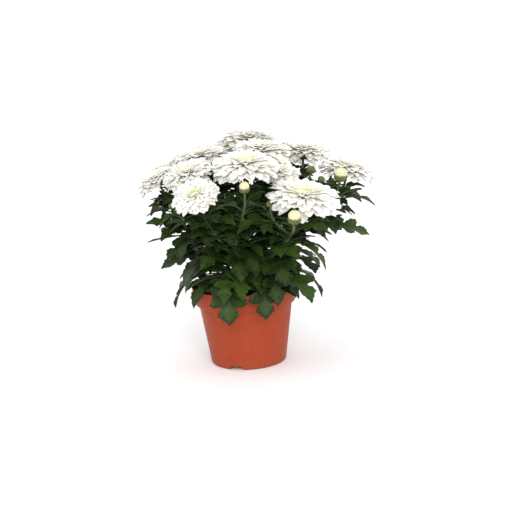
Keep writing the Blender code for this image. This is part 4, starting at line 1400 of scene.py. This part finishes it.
def petal_form(grid, length, half_width, draw):
    """A petal's points along, across and off its strip: narrow foot, broad blunt end, shallow channel."""
    along, across = grid
    broader = np.sin(0.5 * math.pi * np.minimum(1, along / BROADEST_AT)) ** 1.2
    wide = half_width * (PETAL_FOOT + (1 - PETAL_FOOT) * broader)
    wide *= 1 - BLUNTED * np.clip((along - BLUNT_FROM) / (1 - BLUNT_FROM), 0, 1) ** 2.5
    tip = 1 - 0.05 * across**2 * along**6 + draw.uniform(-0.02, 0.01) * (1 - across**2) * along**8
    channel = half_width * draw.uniform(0.15, 0.5) * (across**2 - 0.3)
    channel *= np.sin(math.pi * (0.25 + 0.6 * along))
    twist = half_width * draw.uniform(-0.45, 0.45) * across * along**2
    flutter = 0.05 * length * draw.uniform(-1, 1) * along * np.sin(math.pi * along * draw.uniform(1.2, 2.2))
    ridges = 0.05 * half_width * np.cos(3 * math.pi * across) * (1 - along)
    return along * length * tip, across * wide, channel + twist + flutter + ridges


def heap_petals(pile, name, others, draw):
    """A head's petals in their spiral. One that would cross another head is lifted, lowered or shorter."""
    centre, facing, radius = head_frame(name)
    turn_head = np.array(turn_to(facing))
    first = draw.uniform(0, 360)
    half = PETAL_THICKNESS / 2
    for k in range(PETALS):
        share = k / (PETALS - 1)
        grid, faces, top_faces = INNER_SHEET if share > INNER_FROM else PETAL_SHEET
        values = (np.interp(share, SPIRAL, table) for table in PETAL_FORM)
        length, half_width, inner, height, rise, fall = values
        turn = draw.uniform(-PETAL_TURN_SWING, PETAL_TURN_SWING)
        out = turn_head @ level_direction(first + GOLDEN_ANGLE * k + turn)
        root = centre + (height * facing + inner * out) * radius
        length *= radius * draw.uniform(*PETAL_LENGTH_SPREAD)
        rise, fall = (value + draw.uniform(-swing, swing) for value, swing in zip((rise, fall), PETAL_SWINGS))
        half_width *= (radius + BROAD_HEAD) / 2 * draw.uniform(*PETAL_WIDTH_SPREAD)
        along, across, lift = petal_form(grid, length, half_width, draw)
        roll = draw.uniform(-PETAL_ROLL_SWING, PETAL_ROLL_SWING)
        for more, shorter in PETAL_ESCAPES:
            slopes = (rise + ROOT_SHARE_OF_LIFT * more, fall + more)
            bent = strip(root, out, facing, *slopes, length * shorter, roll)
            upper = on_strip(bent, along * shorter, across, lift + half)
            tree = BVHTree.FromPolygons([Vector(p) for p in upper], top_faces)
            if not any(other.overlap(tree) for other in others):
                break
        count = len(along)
        place = np.stack([*grid, np.full(count, share)], axis=1)
        tone = np.zeros((2 * count, 3))
        tone[:, 0] = draw.random()
        tone[count:, 1] = 1
        heap_sheet(pile, bent, (along * shorter, across, lift), half, half, faces, 0, place, tone)


def streaks_group():
    """Fine lines along a petal: a mask and their normal, from where the points say they lie on it."""
    outputs = {"Mask": "Float", "Normal": "Vector"}
    group, given, result = new_group("petal lines", {"Lines": 6.0, "Depth": 0.0001}, outputs)
    place = told(group, "place")
    over = maths(group, "MULTIPLY", place["Y"], given["Lines"])
    down = maths(group, "MULTIPLY", place["X"], 1.3)
    away = maths(group, "MULTIPLY", told(group, "tone")["X"], 37.0)
    flat = add_node(group, "CombineXYZ", {"X": over, "Y": down, "Z": away}).outputs[0]
    field = add_node(group, "TexNoise", {"Vector": flat, "Scale": 1.0, "Detail": 2.0}).outputs["Fac"]
    bump = add_node(group, "Bump", {"Height": field, "Distance": given["Depth"]})
    group.links.new(ramp(group, field, 0.35, 0.65), result["Mask"])
    group.links.new(bump.outputs["Normal"], result["Normal"])
    return group


petal_lines = streaks_group()


def petal_finish(name, body, root, heart, root_reach, heart_from, rough, glow):
    """A petal's skin: its colour, those at its root and towards the eye, and how much light it lets in."""
    made, tree, shader = new_material(
        name, Roughness=rough, Specular_IOR_Level=0.2,
        Subsurface_Weight=glow, Subsurface_Scale=1.0 * MM, Subsurface_Radius=(1.0, 1.0, 1.0),
    )
    place = told(tree, "place")
    colour = mixed(tree, ramp(tree, place["X"], root_reach, 0.05), body, root)
    middle = ramp(tree, place["Z"], heart_from, 1.02, interpolation_type="SMOOTHSTEP")
    colour = mixed(tree, middle, colour, heart)
    lines = add_node(tree, "Group", {"Lines": 7.0, "Depth": 0.10 * MM}, node_tree=petal_lines).outputs
    faint = maths(tree, "MULTIPLY", lines["Mask"], 0.10)
    feed(shader, Base_Color=mixed(tree, faint, colour, root), Normal=lines["Normal"])
    return made


def petal_sheet(rows_at, columns):
    """A petal's points on its strip, its faces, and those of its upper side alone."""
    faces = strip_faces(len(rows_at), columns)
    return strip_grid(rows_at, columns), faces, faces[: (len(rows_at) - 1) * (columns - 1)]


PETAL_SHEET = petal_sheet(PETAL_ROWS_AT, PETAL_COLUMNS)
INNER_SHEET = petal_sheet(INNER_ROWS_AT, INNER_COLUMNS)
white_finish = petal_finish(
    "white petal", PETAL_WHITE, PETAL_CREAM, PETAL_HEART,
    root_reach=0.6, heart_from=0.64, rough=0.62, glow=1.0,
)
placed = []
for name in BUDS:
    centre, _, radius = head_frame(name)
    placed.append((centre, 2 * radius, guard(name, BUD_GUARD_HALF)))
for number, name in enumerate(BLOOMS, 1):
    centre, _, radius = head_frame(name)
    near = [
        tree for other, reach, tree in placed
        if np.linalg.norm(other - centre) < NEAR_HEADS * (radius + reach)
    ]
    pile = new_pile()
    core = on_head(name, CORE_HALF, GAP, CORE_SIDES)
    heap(pile, *core, 0, np.tile((0.0, 0.0, 0.8), (len(core[0]), 1)))
    heap_petals(pile, name, near, random.Random(100 + number))
    piece_of(f"white_bloom_{number}", pile, [white_finish], name)
    placed.append((centre, radius, tree_of((np.vstack(pile["points"]), pile["faces"]))))


# Eyes of the blooms
# The youngest petals, still rolled up and packed close in the middle of each head, pale yellow-green. They
# stand on the head's core and bend inwards over it.

EYE_PETALS = 46
EYE_ROWS = 5
EYE_COLUMNS = 3
EYE_RADIUS = 0.135
EYE_HEIGHT = 0.13  # this and the sizes below are in head radii too
EYE_BODY = ((0.12, 0.0), (0.125, 0.04), (0.07, 0.08))
EYE_SIDES = 20
EYE_BODY_LIFT = 0.005
EYE_PETAL_LENGTHS = (0.16, 0.12)  # in the middle and at the rim
EYE_PETAL_RISES = (84, 74)
EYE_PETAL_FALLS = (125, 140)
EYE_PETAL_HALF_WIDTH = 0.026
EYE_PETAL_THICKNESS = 0.012
EYE_TIP = (0.84, 0.84, 0.60, 1)
EYE_FOOT = (0.60, 0.66, 0.30, 1)

EYE_GRID = strip_grid(np.linspace(0, 1, EYE_ROWS), EYE_COLUMNS)
EYE_FACES = strip_faces(EYE_ROWS, EYE_COLUMNS)
eye_finish = petal_finish(
    "young petal", EYE_TIP, EYE_FOOT, EYE_FOOT, root_reach=0.8, heart_from=2.0, rough=0.6, glow=0.3
)


def heap_eye(pile, name, draw):
    """The rolled petals of an eye, in a spiral from its middle to its rim."""
    centre, facing, radius = head_frame(name)
    turn_head = np.array(turn_to(facing))
    along, across = EYE_GRID
    place = np.stack([along, across, np.zeros(len(along))], axis=1)
    wide = EYE_PETAL_HALF_WIDTH * radius * (1 - 0.6 * along**2)
    for k in range(EYE_PETALS):
        share = math.sqrt((k + 0.5) / EYE_PETALS)
        out = turn_head @ level_direction(GOLDEN_ANGLE * k)
        root = centre + (EYE_HEIGHT * facing + EYE_RADIUS * share * out) * radius
        length = between(EYE_PETAL_LENGTHS, share**2) * radius * draw.uniform(0.9, 1.1)
        slopes = (between(EYE_PETAL_RISES, share), between(EYE_PETAL_FALLS, share))
        bent = strip(root, out, facing, *slopes, length, draw.uniform(-20, 20))
        form = (along * length, across * wide, 0.5 * wide * across**2)
        below = EYE_PETAL_THICKNESS * radius
        heap_sheet(pile, bent, form, 0, below, EYE_FACES, 0, place, (draw.random(), 0, 0))


for number, name in enumerate(BLOOMS, 1):
    pile = new_pile()
    heap(pile, *on_head(name, EYE_BODY, (EYE_HEIGHT + EYE_BODY_LIFT) * head_frame(name)[2], EYE_SIDES))
    heap_eye(pile, name, random.Random(200 + number))
    piece_of(f"eye_{number}", pile, [eye_finish], name + "_eye")


# Cream buds
# Round buds that have just burst their green cup: blunt cream petals folded over one another and over a
# hidden middle, the outer ones still short.

BALL_HALF = ((0.60, 0.0), (0.95, 0.58), (0.82, 1.22), (0.30, 1.56))
BALL_SIDES = 32
# Rings of folded petals, as the cups' scales are given
FOLDED = (
    (9, 0.62, 0.02, 1.15, 0.27, 62, 112),
    (9, 0.80, 0.25, 1.25, 0.27, 78, 128),
    (9, 0.90, 0.50, 1.25, 0.25, 92, 146),
    (8, 0.86, 0.82, 1.05, 0.22, 110, 162),
    (7, 0.66, 1.16, 0.75, 0.19, 134, 176),
    (4, 0.36, 1.42, 0.40, 0.14, 150, 178),
)
BUD_CREAM = (0.70, 0.68, 0.43, 1)
BUD_FOOT = (0.56, 0.60, 0.26, 1)

bud_finish = petal_finish(
    "bud petal", BUD_CREAM, BUD_FOOT, BUD_CREAM, root_reach=0.5, heart_from=2.0, rough=0.55, glow=0.2
)
for name, bud in BUDS.items():
    if bud[-1]:
        pile = new_pile()
        ball = on_head(name, eased(BALL_HALF, 0.4), GAP, BALL_SIDES)
        heap(pile, *ball, 0, np.tile((0.3, 0.0, 0.0), (len(ball[0]), 1)))
        heap_scales(pile, name, FOLDED, head_frame(name)[2], 0, random.Random(7))
        piece_of(f"cream_{name}", pile, [bud_finish], name)


# Studio
# A plain white floor that runs on behind the plant, a pale sky all round, and one very soft lamp that is far
# off in front and above.

FLOOR_SIZE = 60.0
FLOOR_COLOUR = (0.96, 0.96, 0.96, 1)
FLOOR_SPECK = (0.94, 0.94, 0.94, 1)
SKY_STRENGTH = 1.08
SUN_STRENGTH = 2.0
SUN_SOFTNESS = 35  # degrees across
SUN_FROM = (0.1, -1.0, 0.45)

floor_sheet = bmesh.new()
bmesh.ops.create_grid(floor_sheet, x_segments=8, y_segments=8, size=FLOOR_SIZE / 2)
floor_mesh = bpy.data.meshes.new("floor")
floor_sheet.to_mesh(floor_mesh)
floor_sheet.free()
floor = bpy.data.objects.new("floor", floor_mesh)
bpy.context.scene.collection.objects.link(floor)
floor_finish, floor_tree, floor_shader = new_material("studio floor", Roughness=0.8, Specular_IOR_Level=0.1)
floor_cloud = cloudy(floor_tree, size=0.3, contrast=0.8)
feed(floor_shader, Base_Color=mixed(floor_tree, floor_cloud, FLOOR_COLOUR, FLOOR_SPECK))
floor_mesh.materials.append(floor_finish)

sky = bpy.data.worlds.new("pale sky")
sky.use_nodes = True
sky.node_tree.nodes["Background"].inputs["Color"].default_value = (1.0, 1.0, 1.0, 1)
sky.node_tree.nodes["Background"].inputs["Strength"].default_value = SKY_STRENGTH
bpy.context.scene.world = sky
sun_data = bpy.data.lights.new("soft sun", "SUN")
sun_data.energy = SUN_STRENGTH
sun_data.angle = math.radians(SUN_SOFTNESS)
sun = bpy.data.objects.new("soft sun", sun_data)
sun.rotation_euler = Vector(SUN_FROM).to_track_quat("Z", "Y").to_euler()
bpy.context.scene.collection.objects.link(sun)
bpy.context.scene.view_settings.view_transform = "Standard"


# Camera
# It looks at the plant a little from above, at the photograph's angle and with its slight lean.

CAMERA_HEIGHT_ANGLE = 13.0
CAMERA_LEAN = 3.3
CAMERA_DISTANCE = 1.5
CAMERA_AIM = np.array([0.021, 0.0, 0.113])
FRAME_WIDTH = 524 * 1.126 * MM  # what it sees at the pot's distance

rise = math.radians(CAMERA_HEIGHT_ANGLE)
lean = math.radians(CAMERA_LEAN)
back = np.array([0.0, -math.cos(rise), math.sin(rise)])
right = np.array([1.0, 0.0, 0.0])
above = np.cross(back, right)
leaning_right = right * math.cos(lean) - above * math.sin(lean)
leaning_up = above * math.cos(lean) + right * math.sin(lean)
stand = Matrix.Identity(4)
for k in range(3):
    stand[k] = (leaning_right[k], leaning_up[k], back[k], CAMERA_AIM[k] + CAMERA_DISTANCE * back[k])
camera_data = bpy.data.cameras.new("camera")
camera_data.sensor_width = 36
camera_data.lens = camera_data.sensor_width * CAMERA_DISTANCE / FRAME_WIDTH
camera = bpy.data.objects.new("camera", camera_data)
camera.matrix_world = stand
bpy.context.scene.collection.objects.link(camera)
bpy.context.scene.camera = camera
